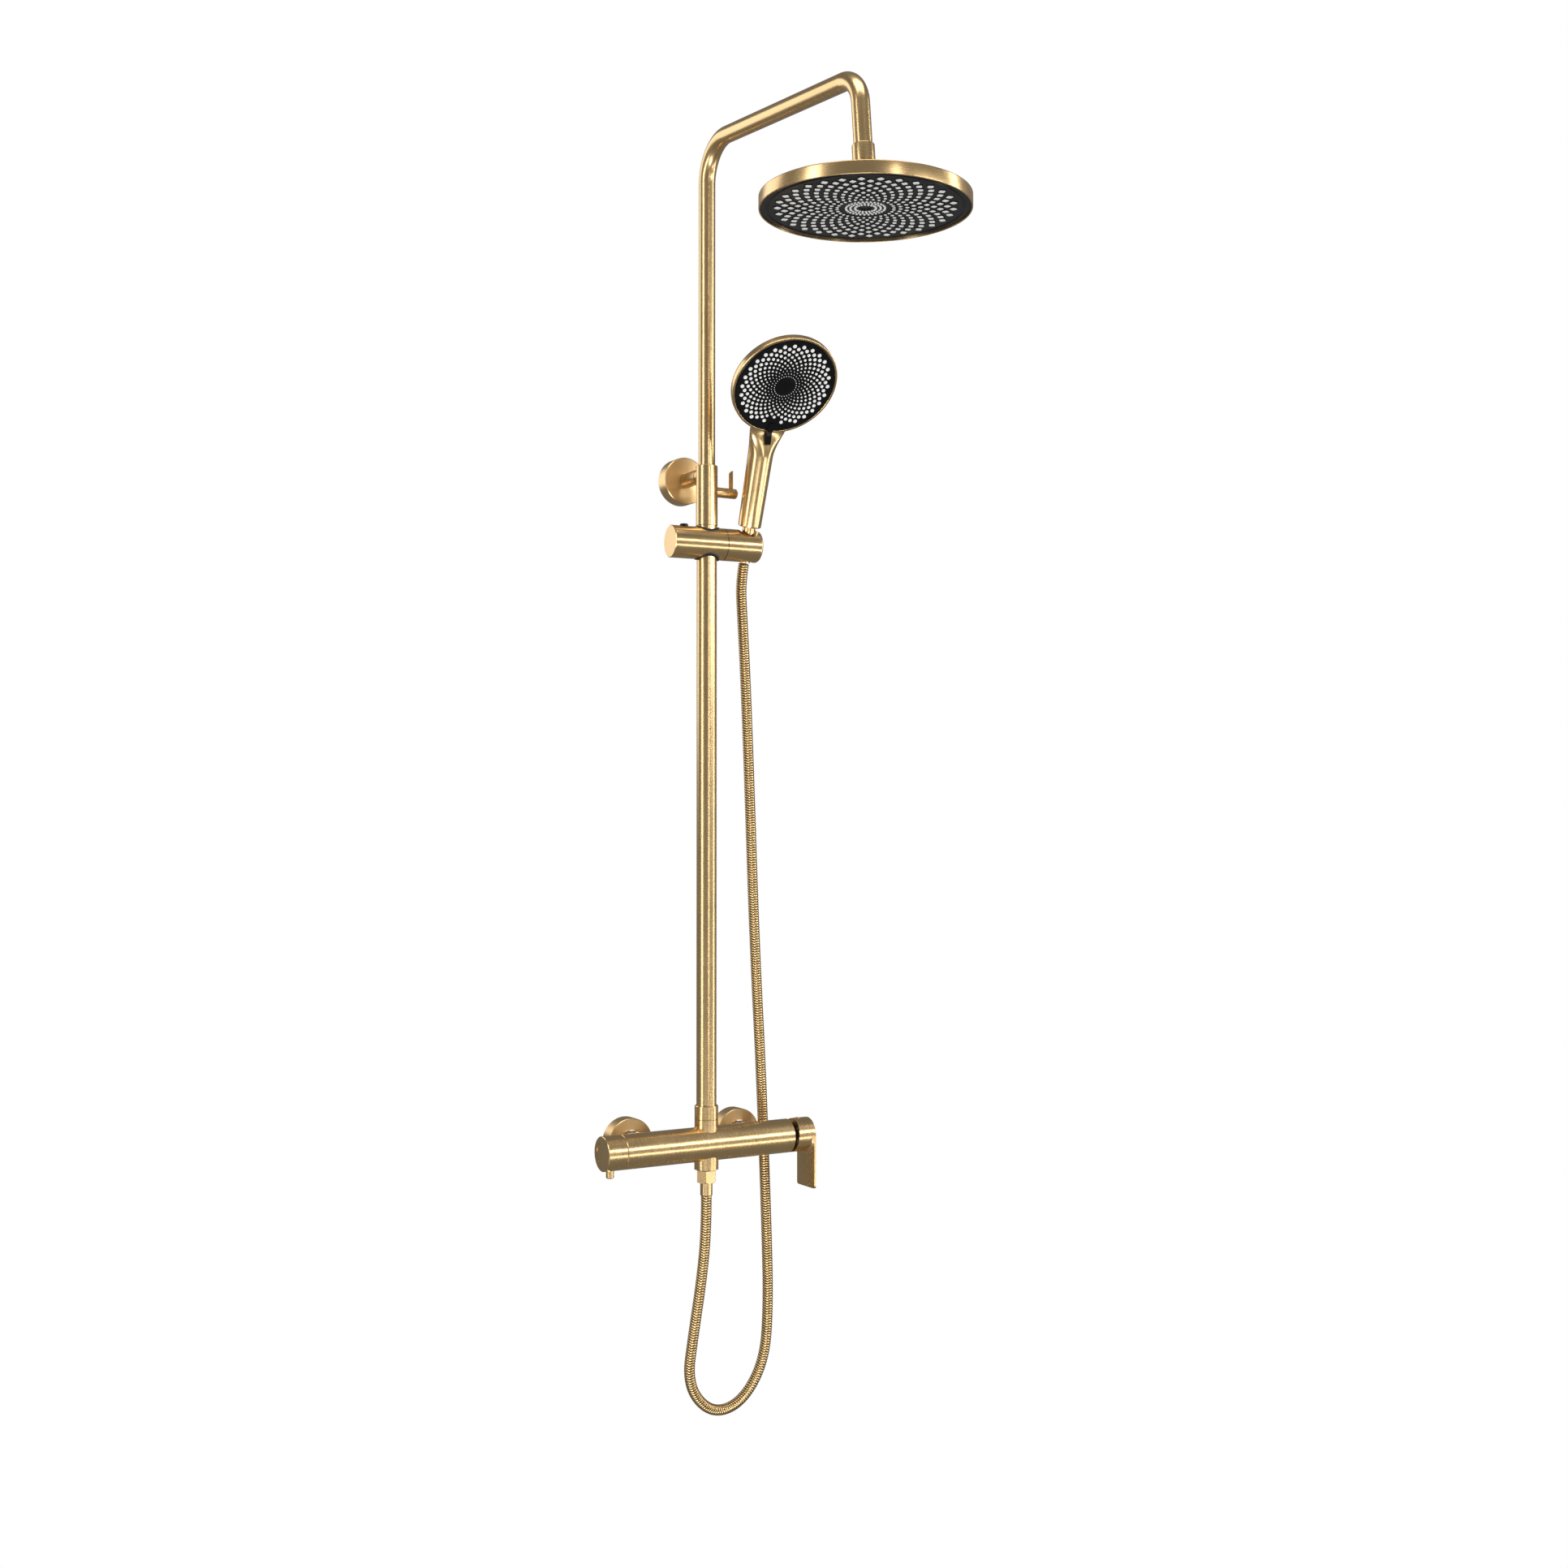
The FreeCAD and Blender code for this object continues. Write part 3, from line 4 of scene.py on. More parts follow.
import bpy
import numpy as np
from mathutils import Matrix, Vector

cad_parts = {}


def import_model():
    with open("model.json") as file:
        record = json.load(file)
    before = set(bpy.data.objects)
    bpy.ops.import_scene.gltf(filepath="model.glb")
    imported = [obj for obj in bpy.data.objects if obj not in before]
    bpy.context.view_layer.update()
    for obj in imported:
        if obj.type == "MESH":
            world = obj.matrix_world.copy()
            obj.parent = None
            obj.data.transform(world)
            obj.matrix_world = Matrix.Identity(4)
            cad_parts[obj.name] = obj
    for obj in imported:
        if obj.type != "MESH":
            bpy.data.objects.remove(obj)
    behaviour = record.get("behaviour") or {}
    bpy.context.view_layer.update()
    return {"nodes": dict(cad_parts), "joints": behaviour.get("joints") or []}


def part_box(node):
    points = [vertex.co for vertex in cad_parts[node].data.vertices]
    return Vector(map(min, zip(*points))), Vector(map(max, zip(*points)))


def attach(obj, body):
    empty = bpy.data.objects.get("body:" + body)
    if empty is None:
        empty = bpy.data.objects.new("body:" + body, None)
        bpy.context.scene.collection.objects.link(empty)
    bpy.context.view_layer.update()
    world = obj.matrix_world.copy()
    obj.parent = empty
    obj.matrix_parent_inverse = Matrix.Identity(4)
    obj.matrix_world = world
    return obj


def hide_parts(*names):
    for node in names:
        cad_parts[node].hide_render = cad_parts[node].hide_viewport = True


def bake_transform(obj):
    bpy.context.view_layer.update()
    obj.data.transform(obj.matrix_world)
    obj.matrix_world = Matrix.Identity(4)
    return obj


# Rainfall shower column in satin gold: finishes, tube, spray faces, hand shower and ribbed hose
# round the CAD frame.
# Metres.  +X runs along the bar to the lever, +Y runs into the wall, +Z is up.

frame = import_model()

MM = 0.001
JOINTS = {joint["name"]: joint for joint in frame["joints"]}
SMOOTH_BELOW = math.radians(32)  # edges that turn less than this are shaded smooth
LONGEST_REACH = 0.45  # a rounded corner takes up no more than this share of an edge
NO_TRIANGLES = np.zeros((0, 3), int)
TAU = 2 * math.pi


# ---------------------------------------------------------------- surfaces


def unit(vectors):
    """Vectors divided by their lengths, along the last axis."""
    return vectors / np.linalg.norm(vectors, axis=-1, keepdims=True)


def basis(axis):
    """Two unit vectors square to axis and to each other, and axis itself as a unit vector.

    The first is whichever of X, Y and Z lies least along axis, made square to it.
    """
    axis = unit(np.array(axis, float))
    helper = np.eye(3)[np.argmin(np.abs(axis))]
    first = unit(helper - (helper @ axis) * axis)
    return first, np.cross(axis, first), axis


def turns(count):
    """Angles of count points that are spread evenly round a circle, from 0."""
    return np.arange(count) / count * TAU


def circle(count):
    """Circle of radius 1 in count points."""
    v = turns(count)
    return np.column_stack([np.cos(v), np.sin(v)])


def rounded(corners, radius, steps=4):
    """Closed outline whose corners are quadratic curves: (1-t)^2 A + 2t(1-t) P + t^2 B.

    P is the corner, and A and B lie a radius away from it on its two edges.
    """
    corners = np.array(corners, float)
    radius = np.broadcast_to(np.asarray(radius, float), len(corners))[:, None]
    before, after = np.roll(corners, 1, 0) - corners, np.roll(corners, -1, 0) - corners
    reach_back = np.minimum(radius, LONGEST_REACH * np.linalg.norm(before, axis=1, keepdims=True))
    reach_on = np.minimum(radius, LONGEST_REACH * np.linalg.norm(after, axis=1, keepdims=True))
    start, end = corners + unit(before) * reach_back, corners + unit(after) * reach_on
    t = np.linspace(0, 1, steps)[None, :, None]
    curve = (1 - t) ** 2 * start[:, None] + 2 * t * (1 - t) * corners[:, None] + t**2 * end[:, None]
    return curve.reshape(-1, corners.shape[1])


def faces_of_grid(rows, columns, wrap_rows):
    """Quads of a grid whose columns close on themselves, as an array of four corner numbers each."""
    row = np.arange(rows if wrap_rows else rows - 1)[:, None]
    column = np.arange(columns)[None, :]
    below, beside = (row + 1) % rows, (column + 1) % columns
    near = [row * columns + column, row * columns + beside]
    far = [below * columns + beside, below * columns + column]
    return np.stack(np.broadcast_arrays(*near, *far), -1).reshape(-1, 4)


def end_fans(rows, columns):
    """Triangles from a grid's first and last rows to two poles, which are numbered after its points."""
    here = np.arange(columns)
    beside = (here + 1) % columns
    last, pole = (rows - 1) * columns, rows * columns
    near = np.stack([beside, here, np.full(columns, pole)], 1)
    far = np.stack([last + here, last + beside, np.full(columns, pole + 1)], 1)
    return np.concatenate([near, far])


def uv_along(along, columns, wrap_rows):
    """UV of each face's corners: its row's length along, and the share of a turn.

    A fan keeps the length of its own end.
    """
    shape = (len(along) if wrap_rows else len(along) - 1, columns)
    row, column = np.indices(shape)
    lengths = np.append(along, along[-1])
    u = np.stack([lengths[row], lengths[row], lengths[row + 1], lengths[row + 1]], -1)
    v = np.stack([column, column + 1, column + 1, column], -1) / columns
    uv = np.stack([u, v], -1).reshape(-1, 2)
    if wrap_rows:
        return uv
    fans = np.zeros((2, columns * 3, 2))
    fans[0, :, 0], fans[1, :, 0] = along[0], along[-1]
    return np.concatenate([uv, fans.reshape(-1, 2)])


def finished_mesh(name, vertices, quads, triangles, loop_uv=None):
    """Mesh from arrays, turned so that its faces point outwards, with smooth shading up to an angle."""
    faces = quads.tolist() + triangles.tolist()
    halves = np.concatenate([quads[:, :3], quads[:, [0, 2, 3]], triangles])
    a, b, c = (vertices[halves[:, k]] for k in range(3))
    inside_out = np.einsum("ij,ij->i", a, np.cross(b, c)).sum() < 0
    mesh = bpy.data.meshes.new(name)
    mesh.from_pydata(vertices, [], faces)
    if loop_uv is not None:
        layer = mesh.uv_layers.new(name="along_around")
        layer.data.foreach_set("uv", loop_uv.astype(np.float32).ravel())
    if inside_out:
        mesh.flip_normals()
    mesh.shade_smooth()
    mesh.set_sharp_from_angle(angle=SMOOTH_BELOW)
    return mesh


def skin(name, grid, wrap_rows=False, along=None):
    """Closed mesh over a grid of points (rows, columns, 3) whose columns close on themselves.

    Rows close on themselves too, or each end row is closed by a fan to its mean point.
    With along, a length for each row, the UV map holds that length and the share of a turn.
    """
    rows, columns, _ = grid.shape
    vertices, triangles = grid.reshape(-1, 3), NO_TRIANGLES
    if not wrap_rows:
        vertices = np.concatenate([vertices, grid[0].mean(0)[None], grid[-1].mean(0)[None]])
        triangles = end_fans(rows, columns)
    loop_uv = None if along is None else uv_along(along, columns, wrap_rows)
    return finished_mesh(name, vertices, faces_of_grid(rows, columns, wrap_rows), triangles, loop_uv)


def lathe(name, outline, origin, axis, ring=True, columns=128):
    """Turned piece: each point of outline (along, radius) runs round axis through origin.

    point = origin + along * axis + radius * (first * cos v + second * sin v).
    A ring's outline closes on itself; otherwise its two ends are closed by flat ends.
    """
    first, second, axis = basis(axis)
    outline = np.array(outline, float)
    spokes = circle(columns) @ np.stack([first, second])
    grid = np.array(origin) + outline[:, 0, None, None] * axis + outline[:, 1, None, None] * spokes[None]
    return skin(name, grid, wrap_rows=ring)


def tube_grid(points, radii, helper, columns):
    """Grid of rings round a path: point + radius * (first * cos v + second * sin v).

    At each point, first is helper made square to the path, and second is square to both.
    """
    along_path = unit(np.gradient(points, axis=0))
    helper = np.array(helper, float)
    first = unit(helper - (along_path @ helper)[:, None] * along_path)
    spokes = circle(columns) @ np.stack([first, np.cross(along_path, first)], 1)
    return points[:, None] + radii[:, None, None] * spokes


def lengths_along(points):
    """Distance from the first point to each point of a path."""
    return np.concatenate([[0], np.cumsum(np.linalg.norm(np.diff(points, axis=0), axis=1))])


def at_lengths(points, wanted):
    """Points of a path at the wanted distances along it."""
    along = lengths_along(points)
    return np.stack([np.interp(wanted, along, points[:, k]) for k in range(3)], 1)


def scattered(name, cell, places, axes, sizes):
    """One mesh of many like cells: place + x * first + y * second + z * third axis.

    (x, y, z) is a vertex of the cell times that place's sizes.
    """
    vertices, quads, triangles = cell
    local = vertices[None] * sizes[:, None]
    moved = places[:, None] + sum(local[..., k : k + 1] * axes[k][:, None] for k in range(3))
    shift = (np.arange(len(places)) * len(vertices))[:, None, None]
    all_quads = (quads[None] + shift).reshape(-1, 4)
    all_triangles = (triangles[None] + shift).reshape(-1, 3)
    return finished_mesh(name, moved.reshape(-1, 3), all_quads, all_triangles)


def stacked_rings(outline, heights, scales):
    """Rings of an outline (n, 2), one above another, each with its height and scale."""
    return np.concatenate([
        np.column_stack([outline * scale, np.full(len(outline), height)])
        for height, scale in zip(heights, scales)])


def pad_cell(outline, heights, scales):
    """Cell like a pad: stacked rings of an outline, closed by a fan at both ends."""
    poles = [[0, 0, heights[0]], [0, 0, heights[-1]]]
    vertices = np.concatenate([stacked_rings(outline, heights, scales), poles])
    rows, columns = len(heights), len(outline)
    return vertices, faces_of_grid(rows, columns, False), end_fans(rows, columns)


def ring_cell(outline, heights, scales):
    """Cell like a raised collar: stacked rings of an outline that close on themselves."""
    quads = faces_of_grid(len(heights), len(outline), True)
    return stacked_rings(outline, heights, scales), quads, NO_TRIANGLES


def piece(name, mesh, body, material, replaces=()):
    """Object for a finished mesh, riding on a body, with its finish and the CAD nodes that it stands for."""
    made = bpy.data.objects.new(name, mesh)
    bpy.context.scene.collection.objects.link(made)
    mesh.materials.clear()
    mesh.materials.append(material)
    if body:
        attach(made, body)
    if replaces:
        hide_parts(*replaces)
    return made


# ---------------------------------------------------------------- shader maths


class Value:
    """A number's socket in a node tree, so that arithmetic on it adds Math nodes."""

    def __init__(self, finish, socket):
        self.finish, self.socket = finish, socket

    def _math(self, operation, *others):
        numbers = [other.socket if isinstance(other, Value) else other for other in others]
        node = self.finish.node("ShaderNodeMath", {"operation": operation}, [self.socket, *numbers])
        return Value(self.finish, node.outputs[0])

    def __add__(self, other):
        return self._math("ADD", other)

    def __sub__(self, other):
        return self._math("SUBTRACT", other)

    def __mul__(self, other):
        return self._math("MULTIPLY", other)

    def __truediv__(self, other):
        return self._math("DIVIDE", other)

    def __rsub__(self, other):
        return (self * -1.0) + other

    __radd__ = __add__
    __rmul__ = __mul__

    def power(self, other):
        return self._math("POWER", other)

    def above(self, other):
        return self._math("GREATER_THAN", other)

    def size(self):
        return self._math("ABSOLUTE")

    def fraction(self):
        return self._math("FRACT")

    def hypot(self, other):
        return (self * self + other * other).power(0.5)

    def angle(self, other):
        return self._math("ARCTAN2", other)


class Finish:
    """A material's node tree with one Principled shader, and one method that adds any node."""

    def __init__(self, name, **constants):
        self.material = bpy.data.materials.new(name)
        self.material.use_nodes = True
        self.tree = self.material.node_tree
        self.shader = self.tree.nodes["Principled BSDF"]
        for socket, value in constants.items():
            self.shader.inputs[socket.replace("_", " ")].default_value = value

    def node(self, kind, settings=None, inputs=None):
        """Adds a node: settings are set first, then the values or links of its sockets by number or name."""
        made = self.tree.nodes.new(kind)
        for key, value in (settings or {}).items():
            setattr(made, key, value)
        pairs = enumerate(inputs) if isinstance(inputs, list) else (inputs or {}).items()
        for key, value in pairs:
            if isinstance(value, Value):
                value = value.socket
            if isinstance(value, bpy.types.NodeSocket):
                self.tree.links.new(value, made.inputs[key])
            else:
                made.inputs[key].default_value = value
        return made

    def feed(self, socket, source):
        """Links a value or a socket to one of the shader's sockets."""
        source = source.socket if isinstance(source, Value) else source
        self.tree.links.new(source, self.shader.inputs[socket])

    def place(self):
        """Object coordinates as a vector socket and three values, in metres."""
        vector = self.node("ShaderNodeTexCoord").outputs["Object"]
        parts = self.node("ShaderNodeSeparateXYZ", None, [vector]).outputs
        return vector, [Value(self, part) for part in parts]

    def uv(self):
        """The piece's own UV map as a vector socket and its two values."""
        vector = self.node("ShaderNodeTexCoord").outputs["UV"]
        parts = self.node("ShaderNodeSeparateXYZ", None, [vector]).outputs
        return vector, [Value(self, part) for part in parts[:2]]

    def vector(self, x, y, z):
        """A vector socket from three values or numbers."""
        return self.node("ShaderNodeCombineXYZ", None, [x, y, z]).outputs[0]

    def noise(self, vector, scale, detail=2.0, roughness=0.5):
        """Noise from 0 to 1 at a number of features per metre."""
        made = self.node(
            "ShaderNodeTexNoise", None,
            {"Vector": vector, "Scale": scale, "Detail": detail, "Roughness": roughness})
        return Value(self, made.outputs["Fac"])

    def mix(self, share, low, high):
        """Colour between low and high by share."""
        made = self.node(
            "ShaderNodeMix", {"data_type": "RGBA"}, {"Factor": share, "A": low, "B": high})
        return made.outputs["Result"]

    def bump(self, height, distance):
        """Feeds Normal with a height in units of distance metres."""
        made = self.node("ShaderNodeBump", None, {"Strength": 1.0, "Distance": distance, "Height": height})
        self.feed("Normal", made.outputs["Normal"])


def colour(red, green, blue):
    """Opaque colour in linear light."""
    return (red, green, blue, 1.0)


# ---------------------------------------------------------------- finishes

GOLD_LIGHT = colour(0.77, 0.545, 0.275)
GOLD_DEEP = colour(0.69, 0.47, 0.22)
# painted shade: dark brown laid into the hose's grooves in place of the shade that falls there
PAINTED_GROOVE_SHADE = colour(0.16, 0.1, 0.04)
BRUSH_LINES = 5200  # brushed lines per metre, across the brushing
BRUSH_DRIFT = 26  # how often a line changes per metre, along the brushing
LINES_TONE, CLOUD_TONE = 0.55, 0.45
LINES_ROUGH, CLOUD_ROUGH = 0.14, 0.08
SATIN_ROUGH, COVER_ROUGH, PLATED_ROUGH, HOSE_ROUGH = 0.27, 0.32, 0.24, 0.2
BRUSH_RELIEF, COVER_RELIEF, PEEL_RELIEF = 0.0008 * MM, 0.001 * MM, 0.0005 * MM
WIDE_CLOUD, TUBE_CLOUD, PLATED_CLOUD, HOSE_CLOUD = 38.0, 30.0, 45.0, 60.0  # features per metre
RIB_PITCH = 3.1 * MM


def metal(name):
    """Bare start of a metal finish."""
    return Finish(name, Metallic=1.0, Specular_IOR_Level=0.5)


def brush_lines(finish, x, y, z):
    """Brushed lines: noise with about one feature for each unit of three values."""
    return finish.noise(finish.vector(x, y, z), 1.0, 3.0, 0.6)


def brushed(finish, lines, cloud, rough, depth):
    """Satin metal: fine lines change the roughness, colour and relief, and a slow cloud changes the tone."""
    tone = lines * LINES_TONE + cloud * CLOUD_TONE
    finish.feed("Base Color", finish.mix(tone, GOLD_DEEP, GOLD_LIGHT))
    smoothest = rough - (LINES_ROUGH + CLOUD_ROUGH) / 2
    finish.feed("Roughness", lines * LINES_ROUGH + cloud * CLOUD_ROUGH + smoothest)
    finish.bump(lines, depth)
    return finish.material


def gold_turned(name, axis):
    """Gold brushed in rings round an axis: noise squeezed along the axis, drawn out round it."""
    finish = metal(name)
    vector, place = finish.place()
    stretched = [part * (BRUSH_LINES if k == axis else BRUSH_DRIFT) for k, part in enumerate(place)]
    lines = brush_lines(finish, *stretched)
    return brushed(finish, lines, finish.noise(vector, WIDE_CLOUD), SATIN_ROUGH, BRUSH_RELIEF)


def gold_bar(name):
    """Gold of the mixer's body: rings round the bar, and level rings round its upright bosses."""
    finish = metal(name)
    vector, (x, y, z) = finish.place()
    knob_low, knob_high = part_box("diverter_knob")
    bar_radius = (knob_high.z - knob_low.z) / 2
    round_bar = brush_lines(finish, x * BRUSH_LINES, y * BRUSH_DRIFT, z * BRUSH_DRIFT)
    round_riser = brush_lines(finish, x * BRUSH_DRIFT, y * BRUSH_DRIFT, z * BRUSH_LINES)
    upright = z.size().above(bar_radius * 1.001)
    lines = round_bar * (1.0 - upright) + round_riser * upright
    return brushed(finish, lines, finish.noise(vector, WIDE_CLOUD), SATIN_ROUGH, BRUSH_RELIEF)


def gold_dished(name, centres):
    """Gold of wall covers: lines run round each cover's own centre, as they come from the distance to it.

    With two centres, the second holds where X is above 0.
    """
    finish = metal(name)
    vector, (x, y, z) = finish.place()
    side = x.above(0.0)
    centre_x = side * (centres[-1][0] - centres[0][0]) + centres[0][0]
    across, up = x - centre_x, z - centres[0][1]
    radius, turn = across.hypot(up), across.angle(up)
    lines = brush_lines(finish, radius * 3200.0, turn * 2.2, y * 2600.0)
    return brushed(finish, lines, finish.noise(vector, TUBE_CLOUD), COVER_ROUGH, COVER_RELIEF)


def gold_tube(name):
    """Gold of bent tubes: fine rings from the UV map's length, so that they follow the bends."""
    finish = metal(name)
    vector, _ = finish.place()
    _, (along, turn) = finish.uv()
    lines = brush_lines(finish, along * BRUSH_LINES, turn * 3.0, 0.0)
    return brushed(finish, lines, finish.noise(vector, TUBE_CLOUD), SATIN_ROUGH, BRUSH_RELIEF)


def gold_plated(name):
    """Plated gold without brush lines: a slow cloud in tone and roughness, and a very fine orange peel."""
    finish = metal(name)
    vector, _ = finish.place()
    cloud = finish.noise(vector, PLATED_CLOUD, 3.0)
    finish.feed("Base Color", finish.mix(cloud, GOLD_DEEP, GOLD_LIGHT))
    finish.feed("Roughness", cloud * 0.07 + (PLATED_ROUGH - 0.035))
    finish.bump(finish.noise(vector, 900.0), PEEL_RELIEF)
    return finish.material


def gold_hose_finish(name):
    """Gold of the hose's wound strip, with painted shade: darker down in the grooves, where the UV's length
    says they are.

    crest = 1 - |2 f - 1|^2.5, where f is the fraction of length / pitch: 1 on a rib, 0 in a groove.
    """
    finish = metal(name)
    vector, _ = finish.place()
    _, (along, _) = finish.uv()
    from_middle = (along / RIB_PITCH).fraction() - 0.5
    crest = 1.0 - (from_middle.size() * 2.0).power(2.5)
    cloud = finish.noise(vector, HOSE_CLOUD, 3.0)
    base = finish.mix(cloud, GOLD_DEEP, GOLD_LIGHT)
    # painted shade: away from each rib's crest the colour goes to the dark groove colour
    finish.feed("Base Color", finish.mix(crest, PAINTED_GROOVE_SHADE, base))
    finish.feed("Roughness", cloud * CLOUD_ROUGH + HOSE_ROUGH)
    finish.bump(finish.noise(vector, 1500.0), COVER_RELIEF)
    return finish.material


def satin_plastic(name, base, rough, grain=2600.0, depth=0.004 * MM, spread=0.25, gloss=0.5):
    """Moulded plastic or rubber: fine spark-eroded relief, and a slow drift in tone and roughness."""
    finish = Finish(name, Metallic=0.0, Specular_IOR_Level=gloss)
    vector, _ = finish.place()
    drift = finish.noise(vector, 35.0, 3.0)
    low = colour(*[channel * (1 - spread) for channel in base])
    high = colour(*[min(1.0, channel * (1 + spread)) for channel in base])
    finish.feed("Base Color", finish.mix(drift, low, high))
    finish.feed("Roughness", drift * 0.1 + (rough - 0.05))
    finish.bump(finish.noise(vector, grain, 2.0), depth)
    return finish.material


def machined(name, base):
    """Machined metal out of sight: fine rings with no fixed axis, from a noise drawn out along X."""
    finish = metal(name)
    _, (x, y, z) = finish.place()
    lines = finish.noise(finish.vector(x * 300.0, y * 1800.0, z * 1800.0), 1.0, 2.0)
    low = colour(*[channel * 0.85 for channel in base])
    finish.feed("Base Color", finish.mix(lines, low, colour(*base)))
    finish.feed("Roughness", lines * 0.15 + 0.23)
    finish.bump(lines, 0.01 * MM)
    return finish.material


covers_low, covers_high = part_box("wall_rosettes")
cover_radius = (covers_high.z - covers_low.z) / 2
bracket_low, bracket_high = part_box("bracket_rosette")
GOLD_X = gold_turned("gold_rings_round_x", 0)
GOLD_Z = gold_turned("gold_rings_round_z", 2)
GOLD_Y = gold_turned("gold_rings_round_y", 1)
GOLD_BODY = gold_bar("gold_bar_mixer")
GOLD_COVERS = gold_dished(
    "gold_inlet_covers", [(covers_low.x + cover_radius, 0.0), (covers_high.x - cover_radius, 0.0)])
GOLD_BRACKET = gold_dished("gold_bracket_cover", [(0.0, (bracket_low.z + bracket_high.z) / 2)] * 2)
GOLD_TUBE = gold_tube("gold_bent_tube")
GOLD_PLATED = gold_plated("gold_plated_plastic")
GOLD_HOSE = gold_hose_finish("gold_wound_hose")
BLACK = satin_plastic("satin_black_plastic", (0.005, 0.005, 0.0055), 0.24, gloss=0.16)
# painted shade: the nozzle collars are a deeper, glossier black than the face, for the shadow in each socket;
# their raised rims are geometry
SOCKET_SHADE_BLACK = satin_plastic("black_socket_rims_painted_shade", (0.003, 0.003, 0.003), 0.22, gloss=0.35)
BLACK_GUIDE = satin_plastic("matt_black_acetal", (0.012, 0.012, 0.012), 0.45)
BLACK_RUBBER = satin_plastic("black_seal_rubber", (0.01, 0.01, 0.01), 0.6, 1800.0, 0.02 * MM)
COVER_BLACK = satin_plastic("gloss_black_dome", (0.006, 0.006, 0.006), 0.18)
SILICONE = satin_plastic("pale_silicone", (0.86, 0.87, 0.85), 0.42, 3200.0, 0.004 * MM, 0.06)
WHITE_PLASTIC = satin_plastic("white_acetal", (0.8, 0.8, 0.78), 0.4, 2000.0, 0.004 * MM, 0.05)
STEEL = machined("machined_steel", (0.6, 0.6, 0.6))
RAW_BRASS = machined("machined_brass", (0.8, 0.62, 0.3))

FINISH_OF_NODES = {
    GOLD_X: ["diverter_knob", "clamp_lever", "lever_handle"],
    GOLD_Z: ["lower_tube", "top_collar", "hose_nut", "hose_ferrule", "clamp_sleeve", "upper_tube",
             "ball_fitting", "rose_nut", "rose_shell", "knob_pin", "handset_ferrule", "hose_cone_nut",
             "handset_tail"],
    GOLD_Y: ["inlet_nuts", "bracket_stem"],
    GOLD_BODY: ["mixer_body"],
    GOLD_COVERS: ["wall_rosettes"],
    GOLD_BRACKET: ["bracket_rosette"],
    GOLD_PLATED: ["slider_body", "holder", "handset_body", "index_plug"],
    BLACK: ["rose_face", "handset_face", "mode_selector", "slider_button"],
    BLACK_GUIDE: ["slider_bushes", "guide_piston", "holder_washer", "brake_shoe"],
    BLACK_RUBBER: ["sealing_washers", "o_rings", "piston_seals"],
    COVER_BLACK: ["cartridge_cover"],
    SILICONE: ["rose_nozzle_mat", "handset_nozzle_mat"],
    WHITE_PLASTIC: ["check_valves", "mixing_cartridge", "diverter_cartridge", "ball_seat", "rose_water_plate",
                    "spray_chamber"],
    STEEL: ["grub_screws", "bracket_screws", "rose_screws", "lever_pin", "clamp_screw", "button_spring",
            "holder_axle", "bracket_base"],
    RAW_BRASS: ["inlet_unions", "inlet_tails", "cartridge_nut", "diverter_spindle", "cartridge_turret",
                "lever_stem"],
}
for material, names in FINISH_OF_NODES.items():
    for node_name in names:
        node_mesh = frame["nodes"][node_name].data
        node_mesh.materials.clear()
        node_mesh.materials.append(material)

# ---------------------------------------------------------------- hose

HOSE_ROUTE = np.array([
    (0, -72.5, -62.3), (0, -72.5, -104), (-5, -71, -160), (-14, -67, -226), (-21, -62, -290),
    (15, -56, -332), (62, -50, -328), (98, -45, -282), (106, -40, -212), (105.5, -36.5, -120),
    (102, -35, -10), (97.5, -35, 90), (90.5, -36, 200), (84.5, -38, 305), (79, -41.5, 400),
    (73, -45, 500), (67, -48, 590), (60, -53.5, 650), (54.25, -60.48, 683.8), (53.41, -70.12, 709.0),
]) * MM
RING_SHARES = np.array([0.0, 0.1, 0.26, 0.5, 0.74, 0.9])  # where the mesh's rings stand between two grooves
RIB_RADII = np.array([5.8, 6.2, 6.52, 6.64, 6.52, 6.2]) * MM
LOW_JOIN, HIGH_JOIN = 440 * MM, 625 * MM  # heights where one piece of the hose meets the next


def spline_points(route):
    """Points of the NURBS spline of order 3 over the route, evenly read from a curve object with no bevel."""
    curve = bpy.data.curves.new("hose_line", "CURVE")
    curve.dimensions = "3D"
    curve.resolution_u = 64
    spline = curve.splines.new("NURBS")
    spline.points.add(len(route) - 1)
    spline.points.foreach_set("co", np.column_stack([route, np.ones(len(route))]).ravel())
    spline.order_u = 3
    spline.use_endpoint_u = True
    holder = bpy.data.objects.new("hose_line", curve)
    line = bpy.data.meshes.new_from_object(holder)
    points = np.zeros(len(line.vertices) * 3)
    line.vertices.foreach_get("co", points)
    bpy.data.objects.remove(holder)
    bpy.data.curves.remove(curve)
    bpy.data.meshes.remove(line)
    return points.reshape(-1, 3)


def hose_piece(name, line, first_rib, last_rib):
    """Ribbed tube from one groove to another: each rib's rings stand at set shares of its pitch."""
    ribs = np.arange(first_rib, last_rib)
    stations = (ribs[:, None] + RING_SHARES[None]).ravel() * RIB_PITCH
    radii = np.tile(RIB_RADII, len(ribs))
    stations, radii = np.append(stations, last_rib * RIB_PITCH), np.append(radii, RIB_RADII[0])
    points = at_lengths(line, stations)
    grid = tube_grid(points, radii, (0, 1, 0), 24)
    return piece(name, skin(name, grid, along=stations), None, GOLD_HOSE), points


